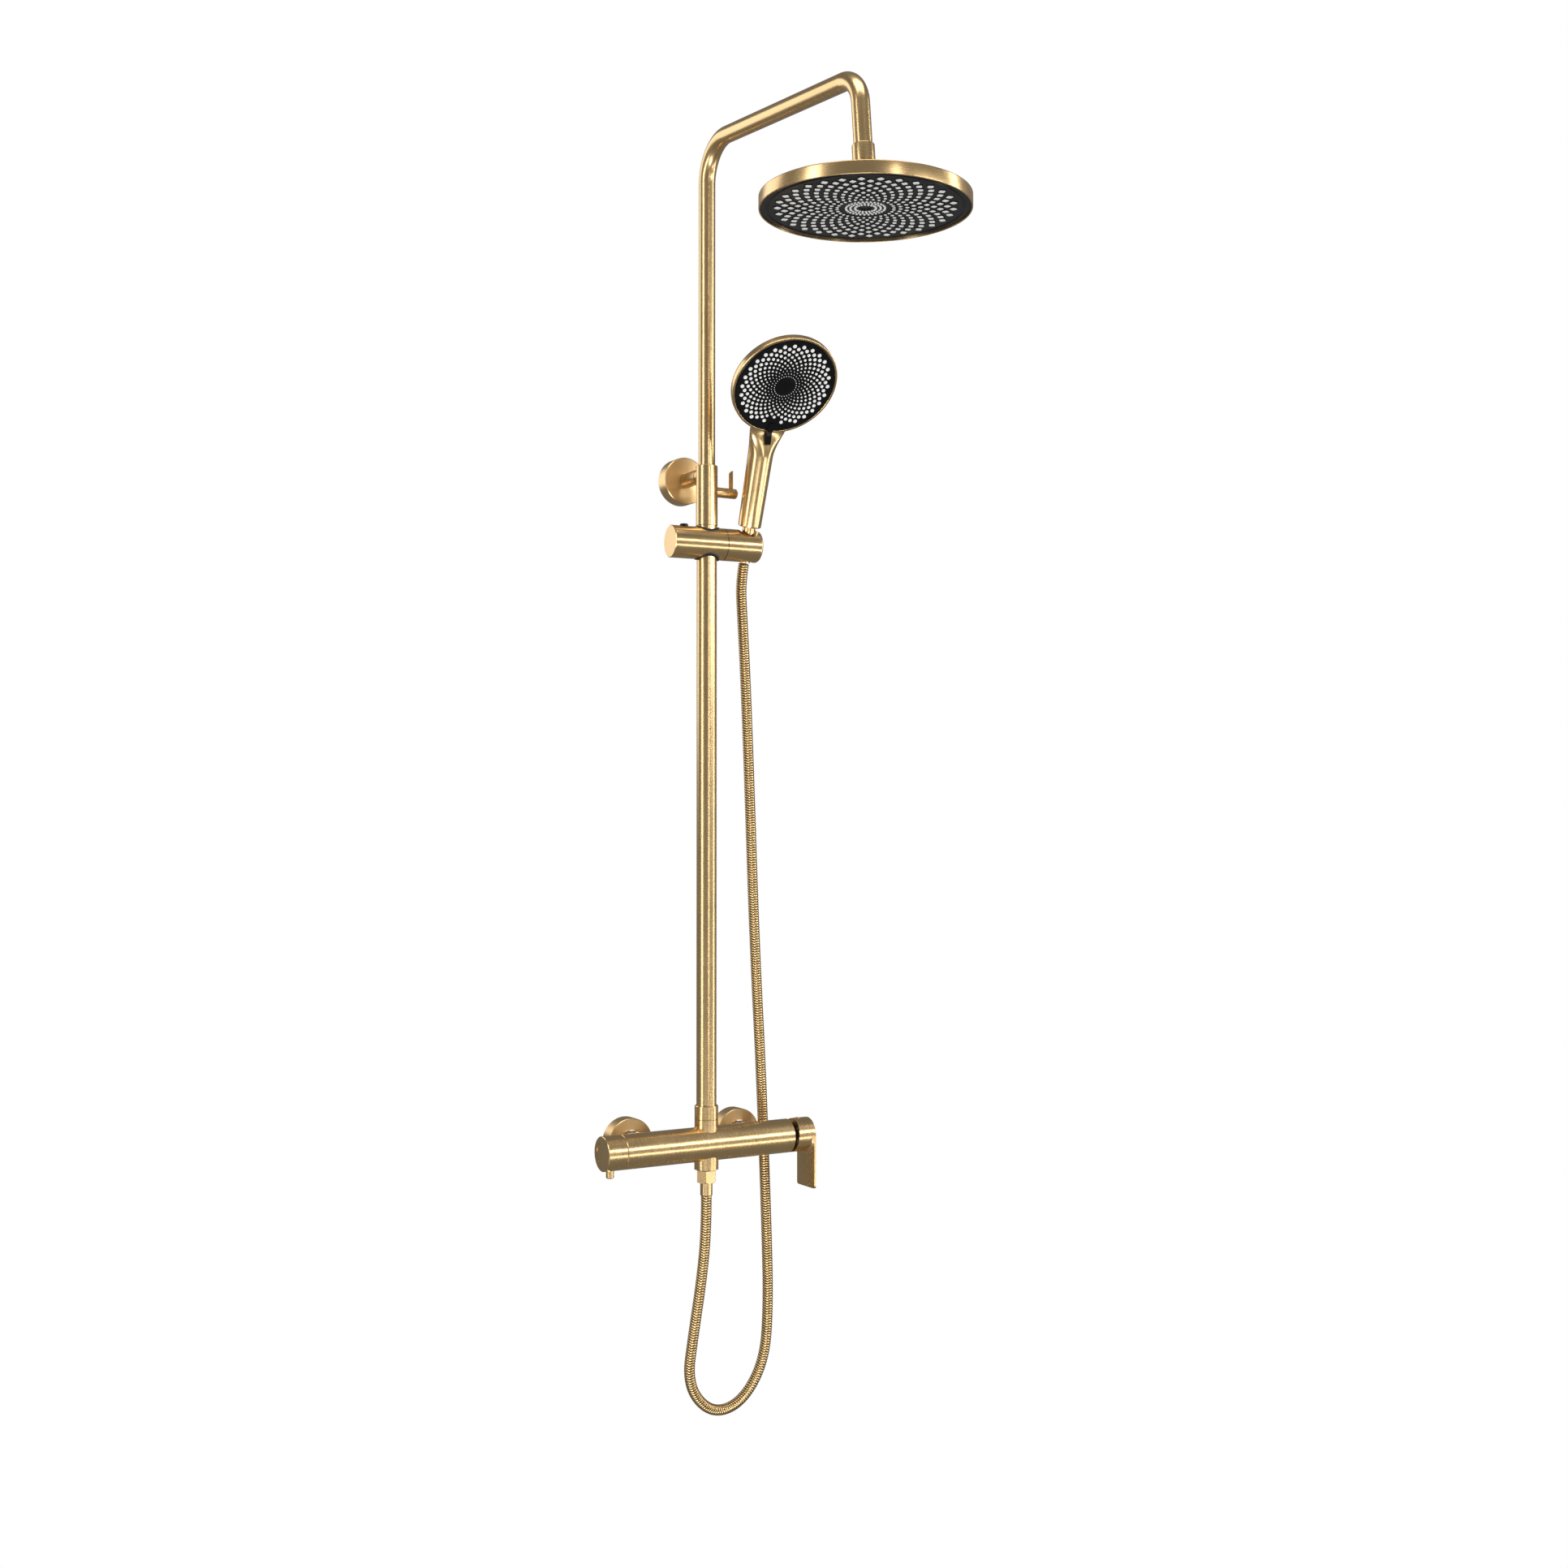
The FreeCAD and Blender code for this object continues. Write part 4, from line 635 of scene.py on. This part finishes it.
def hose():
    """The hose in three pieces that meet in a groove, split where its rising run first passes two heights.

    Each run also names the bodies below and above, and its last two numbers are the heights between which it
    would pass from one to the next; none of these is used.
    """
    line = spline_points(HOSE_ROUTE)
    along = lengths_along(line)
    rib_count = int(along[-1] / RIB_PITCH)
    rising = along > along[np.argmin(line[:, 2])]

    def rib_at_height(height):
        reached = along[rising & (line[:, 2] > height)][0]
        return int(reached / RIB_PITCH)

    split_low, split_high = rib_at_height(LOW_JOIN), rib_at_height(HIGH_JOIN)
    runs = [
        ("hose_lower", 0, split_low, "fixed_column", "slider_guide", -0.04, 0.42),
        ("hose_upper", split_low, split_high, "slider_guide", "slider", 0.45, 0.62),
        ("hose_end", split_high, rib_count, "slider", "holder", 0.63, 0.695),
    ]
    for name, first, last, below, above, start, end in runs:
        made, points = hose_piece(name, line, first, last)
        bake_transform(made)
        if name == "hose_lower":
            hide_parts("shower_hose")


hose()

# ---------------------------------------------------------------- arm tube and overhead rose

UPPER_R, UPPER_WALL = 10.13 * MM, 1.2 * MM
TUBE_FOOT = np.array(JOINTS["arm_swing"]["pos_m"])
BALL = np.array(JOINTS["head_tilt"]["pos_m"])
ROSE_CENTRE = BALL * (1, 1, 0)
CORNER_HEIGHT = 1216.8 * MM  # where the riser's line meets the arm's
ARM_FALL, DROP_LEAN = math.radians(5.3), math.radians(5.7)
RISER_BEND, DROP_BEND = 46 * MM, 38 * MM
TUBE_END = 10.4 * MM  # the tube's end above the ball
COLLAR_R, COLLAR_FROM, COLLAR_TO = UPPER_R + 2.1 * MM, 16 * MM, 46 * MM
ROSE_R, ROSE_WALL = 113.5 * MM, 1.6 * MM
ROSE_BOTTOM, ROSE_TOP = 1037.75 * MM, 1051.95 * MM
ROSE_FACE = ROSE_BOTTOM + 1.8 * MM
ROSE_BOSS_R, ROSE_HOLE_R, ROSE_BOSS_TOP = 12 * MM, 6 * MM, ROSE_TOP + 2 * MM
ROSE_RINGS, ROSE_ARMS = 10, 30
CENTRE_COUNTS = [20, 24, 30]


def filleted(points, radii, step_angle=math.radians(3)):
    """Path through points whose corners are arcs: centre + r * (cos a * from_centre + sin a * along)."""
    points = [np.array(point, float) for point in points]
    runs = [points[0][None]]
    for before, corner, after, radius in zip(points, points[1:], points[2:], radii):
        arrive, leave = unit(corner - before), unit(after - corner)
        turn = math.acos(np.clip(arrive @ leave, -1, 1))
        start = corner - arrive * radius * math.tan(turn / 2)
        inward = unit(leave - arrive * (leave @ arrive))
        angles = np.linspace(0, turn, int(turn / step_angle) + 2)[:, None]
        centre = start + inward * radius
        runs.append(centre - inward * radius * np.cos(angles) + arrive * radius * np.sin(angles))
    return np.concatenate(runs + [points[-1][None]])


def arm_tube():
    """The bent upper tube, hollow: the outer skin runs out and the inner one back.

    Its UV map holds the length along the tube, for the brushing.
    """
    corner = np.array([TUBE_FOOT[0], TUBE_FOOT[1], CORNER_HEIGHT])
    run = TUBE_FOOT[1] - BALL[1]
    fall, lean = math.tan(ARM_FALL), math.tan(DROP_LEAN)
    height = (CORNER_HEIGHT - BALL[2] - run * fall) / (1 - fall * lean)
    elbow = BALL + np.array([0, height * lean, height])
    end = BALL + unit(elbow - BALL) * TUBE_END
    path = filleted([TUBE_FOOT, corner, elbow, end], [RISER_BEND, DROP_BEND])
    along = lengths_along(path)
    wanted = np.unique(np.concatenate([along, np.arange(0, along[-1], 20 * MM)]))
    path = at_lengths(path, wanted)
    outside = tube_grid(path, np.full(len(path), UPPER_R), (1, 0, 0), 64)
    inside = tube_grid(path, np.full(len(path), UPPER_R - UPPER_WALL), (1, 0, 0), 64)
    grid = np.concatenate([outside, inside[::-1]])
    mesh = skin("arm_tube", grid, wrap_rows=True, along=np.concatenate([wanted, wanted[::-1]]))
    piece("arm_tube", mesh, "arm", GOLD_TUBE, ["upper_tube"])
    arm_collar(elbow - BALL)


def arm_collar(upward):
    """Collar round the drop's end, with a fine groove round it: a turned outline above the ball."""
    buried_r = UPPER_R - 0.4 * MM
    corners = [(COLLAR_FROM, buried_r), (COLLAR_FROM, COLLAR_R), (COLLAR_TO, COLLAR_R), (COLLAR_TO, buried_r)]
    edge = rounded(corners, np.array([0.2, 1.0, 0.7, 0.2]) * MM, 5)
    groove = np.array([(26.0, 0.0), (26.3, -0.5), (26.9, -0.5), (27.2, 0.0)]) * MM
    above_groove = np.argmax(edge[:, 0] > (COLLAR_FROM + COLLAR_TO) / 2)
    edge = np.insert(edge, above_groove, groove + (0, COLLAR_R), axis=0)
    mesh = lathe("arm_collar", edge, BALL, upward, columns=96)
    piece("arm_collar", mesh, "arm", GOLD_Z)


def polar_places(centre, radii, counts, offsets):
    """Places, tangents and radial directions of rings of points below centre, in the level plane."""
    radius = np.repeat(radii, counts)
    angle = np.concatenate([(np.arange(n) + offset) / n * TAU for n, offset in zip(counts, offsets)])
    radial = np.column_stack([np.cos(angle), np.sin(angle), np.zeros(len(angle))])
    tangent = np.column_stack([-np.sin(angle), np.cos(angle), np.zeros(len(angle))])
    return centre + radial * radius[:, None], tangent, radial


DIAMOND = rounded([(1, 0), (0, 1), (-1, 0), (0, -1)], 0.32, 4)
PAD_HEIGHTS, PAD_SCALES = (-0.8, 0.0, 0.75, 1.0), (1.0, 1.0, 0.93, 0.78)
COLLAR_HEIGHTS, COLLAR_SCALES = (-0.6, 0.5, 0.62, 0.5, -0.6), (0.98, 1.04, 1.14, 1.26, 1.34)
ROUND_NOZZLE = pad_cell(circle(14), PAD_HEIGHTS, PAD_SCALES)


def rose():
    """Rose shell, black face with its edge groove and sunk middle, and its nozzles."""
    inner_r, inner_top = ROSE_R - ROSE_WALL, ROSE_TOP - ROSE_WALL
    corners = [
        (ROSE_BOTTOM, inner_r), (ROSE_BOTTOM, ROSE_R), (ROSE_TOP, ROSE_R), (ROSE_TOP, ROSE_BOSS_R),
        (ROSE_BOSS_TOP, ROSE_BOSS_R), (ROSE_BOSS_TOP, ROSE_HOLE_R), (inner_top, ROSE_HOLE_R),
        (inner_top, inner_r),
    ]
    shell = rounded(corners, np.array([0.3, 0.8, 1.3, 0.4, 0.3, 0.3, 0.3, 0.3]) * MM, 5)
    mesh = lathe("rose_shell_skin", shell, ROSE_CENTRE, (0, 0, 1), columns=240)
    piece("rose_shell_skin", mesh, "rose", GOLD_Z, ["rose_shell"])

    steps = np.array([
        (0.9, 0.5), (0.9, 7.0), (0.0, 7.8), (0.0, 103.2), (0.8, 103.9), (0.8, 105.4), (0.0, 106.1),
        (0.0, 111.1), (0.5, 111.8), (2.0, 111.8), (2.0, 0.5),
    ]) * MM
    steps[:, 0] += ROSE_FACE
    mesh = lathe("rose_face_skin", steps, ROSE_CENTRE, (0, 0, 1), ring=False, columns=240)
    piece("rose_face_skin", mesh, "rose", BLACK, ["rose_face"])
    rose_nozzles(inner_r - 0.1 * MM)


def rose_nozzles(face_r):
    """Staggered rings of lozenge nozzles that grow outwards, in raised black collars whose deeper black is
    painted socket shade, and round ones inside.
    """
    centre = ROSE_CENTRE + np.array([0, 0, ROSE_FACE])
    rings = np.arange(ROSE_RINGS)
    share = rings / (ROSE_RINGS - 1)
    place, tangent, radial = polar_places(
        centre, (0.27 + 0.0627 * rings) * face_r, [ROSE_ARMS] * ROSE_RINGS, rings % 2 * 0.5)
    down = np.tile([0.0, 0.0, -1.0], (len(place), 1))
    axes = (tangent, radial, down)
    wide, long = np.repeat([3.9 + 5.0 * share, 4.8 + 4.5 * share], ROSE_ARMS, axis=1) / 2 * MM
    sizes = np.column_stack([wide, long, np.full(len(place), 1.1 * MM)])
    lozenge = pad_cell(DIAMOND, PAD_HEIGHTS, PAD_SCALES)
    pads = scattered("rose_nozzles", lozenge, place, axes, sizes)
    piece("rose_nozzles", pads, "rose", SILICONE)
    socket = ring_cell(DIAMOND, COLLAR_HEIGHTS, COLLAR_SCALES)
    collars = scattered("rose_nozzle_sockets", socket, place, axes, sizes)
    # collars round each nozzle: raised rims in geometry, darker black as painted socket shade
    piece("rose_nozzle_sockets", collars, "rose", SOCKET_SHADE_BLACK)

    place, tangent, radial = polar_places(
        centre, np.array([0.10, 0.145, 0.185]) * face_r, CENTRE_COUNTS, [0, 0.5, 0])
    sizes = np.tile([1.25 * MM, 1.25 * MM, 1.0 * MM], (len(place), 1))
    dots = scattered("rose_centre_nozzles", ROUND_NOZZLE, place, (tangent, radial, down[: len(place)]), sizes)
    piece("rose_centre_nozzles", dots, "rose", SILICONE)


arm_tube()
rose()

# ---------------------------------------------------------------- hand shower

HAND_SEAT = np.array(JOINTS["handset_turn"]["pos_m"])
HAND_ALONG = unit(np.array(JOINTS["handset_turn"]["axis"]))
FACE_CENTRE = np.array(JOINTS["mode_select"]["pos_m"])
FACE_NORMAL = unit(np.array(JOINTS["mode_select"]["axis"]))
FACE_UP = unit(HAND_ALONG - (HAND_ALONG @ FACE_NORMAL) * FACE_NORMAL)
HAND_RIGHT = np.cross(FACE_NORMAL, FACE_UP)
HAND_OUT = np.cross(HAND_ALONG, HAND_RIGHT)
HEAD_R = 65.0 * MM
SKIN_R = HEAD_R - 0.1 * MM  # the skin stays just inside the rim
FACE_R, FACE_SINK = 62.1 * MM, 0.4 * MM
HEAD_RIM, HEAD_DOME, HEAD_FRONT = 7 * MM, 12.8 * MM, 2.6 * MM
HANDLE_BOTTOM, HANDLE_TOP = 26 * MM, 112 * MM
HANDLE_BOTTOM_R, HANDLE_TOP_R = 14.1 * MM, 15.3 * MM
NECK_HALF = 20 * MM
SKIN_COLUMNS = 72
HAND_RINGS, HAND_ARMS = 9, 28
CENTRE_SHARES, CENTRE_SIZES = [0.22, 0.28, 0.34], [0.5, 0.5, 0.55]  # the three rings nearest the middle
TAB_HALF_GAP, TAB_REACH = 7.2 * MM, 46 * MM  # no nozzles beside the tab, past its inner end
SWEEP_HALF_GAP, SWEEP_REACH = 20 * MM, 52 * MM  # nor where the tab sweeps, past this radius


def hermite(start, end, leaving, arriving, t):
    """Cubic from start to end: h00 start + h10 leaving + h01 end + h11 arriving."""
    return (
        (2 * t**3 - 3 * t**2 + 1) * start + (t**3 - 2 * t**2 + t) * leaving
        + (3 * t**2 - 2 * t**3) * end + (t**3 - t**2) * arriving)


def neck_depths():
    """How far behind the face the neck's back line lies, against the height up the face."""
    t = np.linspace(0, 1, 60)[:, None]
    start = HAND_SEAT + HAND_ALONG * HANDLE_TOP - HAND_OUT * HANDLE_TOP_R
    end = FACE_CENTRE - FACE_UP * NECK_HALF - FACE_NORMAL * 13 * MM
    line = hermite(start, end, HAND_ALONG * 77 * MM, FACE_UP * 70 * MM, t) - FACE_CENTRE
    return line @ FACE_UP, -(line @ FACE_NORMAL)


def head_rows(heights):
    """Sections of the head: a flat front, and a back whose depth is a dome joined with the neck's back.

    dome = 7 + 12.8 sqrt(1 - (r/R)^2.5); depth = (dome^6 + neck^6)^(1/6), in millimetres.
    """
    v = turns(SKIN_COLUMNS)
    half = np.sqrt(np.maximum(SKIN_R**2 - heights**2, 1e-9))[:, None]
    across = half * np.cos(v)[None]
    reach = np.clip(np.hypot(across, heights[:, None]) / HEAD_R, 0, 1)
    dome = HEAD_RIM + HEAD_DOME * np.sqrt(1 - reach**2.5)
    line_heights, line_depths = neck_depths()
    neck = np.interp(heights, line_heights, line_depths, right=0.0)[:, None]
    neck = neck * np.sqrt(np.clip(1 - (across / NECK_HALF) ** 2, 0, 1))
    depth = (dome**6 + neck**6) ** (1 / 6)
    depth = np.where(np.sin(v)[None] >= -1e-6, HEAD_FRONT, depth)
    return (
        FACE_CENTRE + across[..., None] * HAND_RIGHT + heights[:, None, None] * FACE_UP
        - depth[..., None] * FACE_NORMAL)


def hand_shower_skin():
    """Handle, neck and head in one skin: round sections, then a cubic from the last one to the head."""
    spokes = circle(SKIN_COLUMNS) @ np.stack([HAND_RIGHT, HAND_OUT])
    stations = np.array([25, 25.15, 25.5, 26, 27, 50, 80, 105, 112]) * MM
    radii = np.interp(stations, [HANDLE_BOTTOM, HANDLE_TOP], [HANDLE_BOTTOM_R, HANDLE_TOP_R])
    radii[:4] -= np.array([1.0, 0.6, 0.25, 0.06]) * MM  # the rounded lower edge
    handle = HAND_SEAT + stations[:, None, None] * HAND_ALONG + radii[:, None, None] * spokes[None]
    first = math.acos(61.0 * MM / SKIN_R)
    angles = np.concatenate([np.linspace(first, 0.6, 5)[:-1], np.linspace(0.6, math.pi - 0.03, 40)])
    head = head_rows(-SKIN_R * np.cos(angles))
    t = np.linspace(0, 1, 22)[1:-1, None, None]
    neck = hermite(handle[-1][None], head[0][None], HAND_ALONG * 30 * MM, FACE_UP * 26 * MM, t)
    mesh = skin("hand_shower_skin", np.concatenate([handle, neck, head]))
    piece("hand_shower_skin", mesh, "handset", GOLD_PLATED, ["handset_body"])
    corners = np.array([(0, 62.3), (0, 65.0), (-6.5, 65.1), (-6.5, 62.3)]) * MM
    rim = rounded(corners, np.array([0.6, 1.1, 0.3, 0.3]) * MM, 6)
    mesh = lathe("hand_shower_rim", rim, FACE_CENTRE, FACE_NORMAL, columns=200)
    piece("hand_shower_rim", mesh, "handset", GOLD_PLATED)


def hand_shower_face():
    """Black spray face with a bevelled edge and a raised middle, and curved arms of round nozzles."""
    steps = np.array([
        (-0.1, 0.5), (-0.1, 10.6), (-0.4, 11.2), (-0.4, 58.8), (0.0, 59.6), (0.0, 61.3), (-0.5, 62.1),
        (-2.4, 62.1), (-2.4, 0.5),
    ]) * MM
    mesh = lathe("hand_shower_face", steps, FACE_CENTRE, FACE_NORMAL, ring=False, columns=200)
    piece("hand_shower_face", mesh, "handset", BLACK, ["handset_face"])
    share = np.arange(HAND_RINGS) / (HAND_RINGS - 1)
    ring_radii = np.concatenate([CENTRE_SHARES, 0.40 + 0.47 * share]) * FACE_R
    ring_sizes = np.concatenate([CENTRE_SIZES, 0.95 + 1.5 * share]) * MM
    ring, arm = (index.ravel() for index in np.indices((len(ring_radii), HAND_ARMS)))
    radius, size = ring_radii[ring], ring_sizes[ring]
    angle = (arm + ring % 2 * 0.5) / HAND_ARMS * TAU
    from_tab = 2 * np.abs(np.sin((angle + math.pi / 2) / 2)) * radius
    beside_tab = (from_tab < TAB_HALF_GAP) & (radius > TAB_REACH)
    swept = (from_tab < SWEEP_HALF_GAP) & (radius > SWEEP_REACH)
    kept = ~(beside_tab | swept)
    radius, angle, size = radius[kept], angle[kept], size[kept]
    radial = np.cos(angle)[:, None] * HAND_RIGHT + np.sin(angle)[:, None] * FACE_UP
    tangent = np.cos(angle)[:, None] * FACE_UP - np.sin(angle)[:, None] * HAND_RIGHT
    place = FACE_CENTRE - FACE_NORMAL * FACE_SINK + radial * radius[:, None]
    out = np.tile(FACE_NORMAL, (len(place), 1))
    sizes = np.column_stack([size, size, np.full(len(size), 0.9 * MM)])
    dots = scattered("hand_nozzles", ROUND_NOZZLE, place, (tangent, radial, out), sizes)
    piece("hand_nozzles", dots, "handset", SILICONE)


hand_shower_skin()
hand_shower_face()

# ---------------------------------------------------------------- stage, light and camera

COLUMN_MIDDLE = Vector((0.0, -0.15, 0.45))


def area_light(name, place, size, power):
    """Rectangular soft light at place, turned to the column's middle."""
    lamp = bpy.data.lights.new(name, "AREA")
    lamp.shape = "RECTANGLE"
    lamp.size, lamp.size_y = size
    lamp.energy = power
    made = bpy.data.objects.new(name, lamp)
    made.location = place
    made.rotation_mode = "QUATERNION"
    made.rotation_quaternion = (COLUMN_MIDDLE - Vector(place)).to_track_quat("-Z", "Y")
    bpy.context.scene.collection.objects.link(made)


CAMERA_PLACE = Vector((-1.0905, -2.0739, 0.3953))
CAMERA_TURN = 0.5401  # radians from +Y towards +X
CAMERA_RISE = 0.0174  # radians above level
SENSOR = 36.0
LENS = 43.1


def camera():
    """Camera to the left in front of the column, a little under its middle."""
    view = bpy.data.cameras.new("camera")
    view.sensor_width = SENSOR
    view.lens = LENS
    view.clip_start, view.clip_end = 0.05, 100
    made = bpy.data.objects.new("camera", view)
    level = math.cos(CAMERA_RISE)
    forward = Vector((math.sin(CAMERA_TURN) * level, math.cos(CAMERA_TURN) * level, math.sin(CAMERA_RISE)))
    made.location = CAMERA_PLACE
    made.rotation_mode = "QUATERNION"
    made.rotation_quaternion = forward.to_track_quat("-Z", "Y")
    bpy.context.scene.collection.objects.link(made)
    bpy.context.scene.camera = made


def world():
    """White for the camera, and a softer grey for what the metal mirrors."""
    made = bpy.data.worlds.new("studio")
    made.use_nodes = True
    nodes, links = made.node_tree.nodes, made.node_tree.links
    seen, mirrored = nodes["Background"], nodes.new("ShaderNodeBackground")
    seen.inputs["Color"].default_value = colour(1.0, 1.0, 1.0)
    mirrored.inputs["Color"].default_value = colour(0.21, 0.21, 0.21)
    choose, ray = nodes.new("ShaderNodeMixShader"), nodes.new("ShaderNodeLightPath")
    links.new(ray.outputs["Is Camera Ray"], choose.inputs[0])
    links.new(mirrored.outputs[0], choose.inputs[1])
    links.new(seen.outputs[0], choose.inputs[2])
    links.new(choose.outputs[0], nodes["World Output"].inputs[0])
    bpy.context.scene.world = made


def studio():
    """Tall soft boxes and a strip for the tubes' stripes, level bands for the bar's, and three fills."""
    area_light("left_softbox", (-2.4, -0.5, 0.8), (0.45, 2.8), 22)
    area_light("right_softbox", (2.0, -1.1, 0.7), (0.3, 2.8), 17)
    area_light("front_strip", (-0.1, -3.3, 0.8), (0.25, 2.6), 14)
    area_light("right_band", (1.9, -3.0, 1.25), (2.0, 0.32), 26)
    area_light("low_band", (1.7, -2.8, -0.9), (2.0, 0.3), 12)
    area_light("overhead", (-0.3, -0.9, 2.7), (2.2, 1.0), 24)
    area_light("back_light", (-1.2, 1.8, 1.4), (1.4, 1.8), 12)
    area_light("low_fill", (-1.4, -1.9, -1.4), (1.6, 1.0), 44)


camera()
world()
studio()
bpy.context.scene.view_settings.view_transform = "Standard"
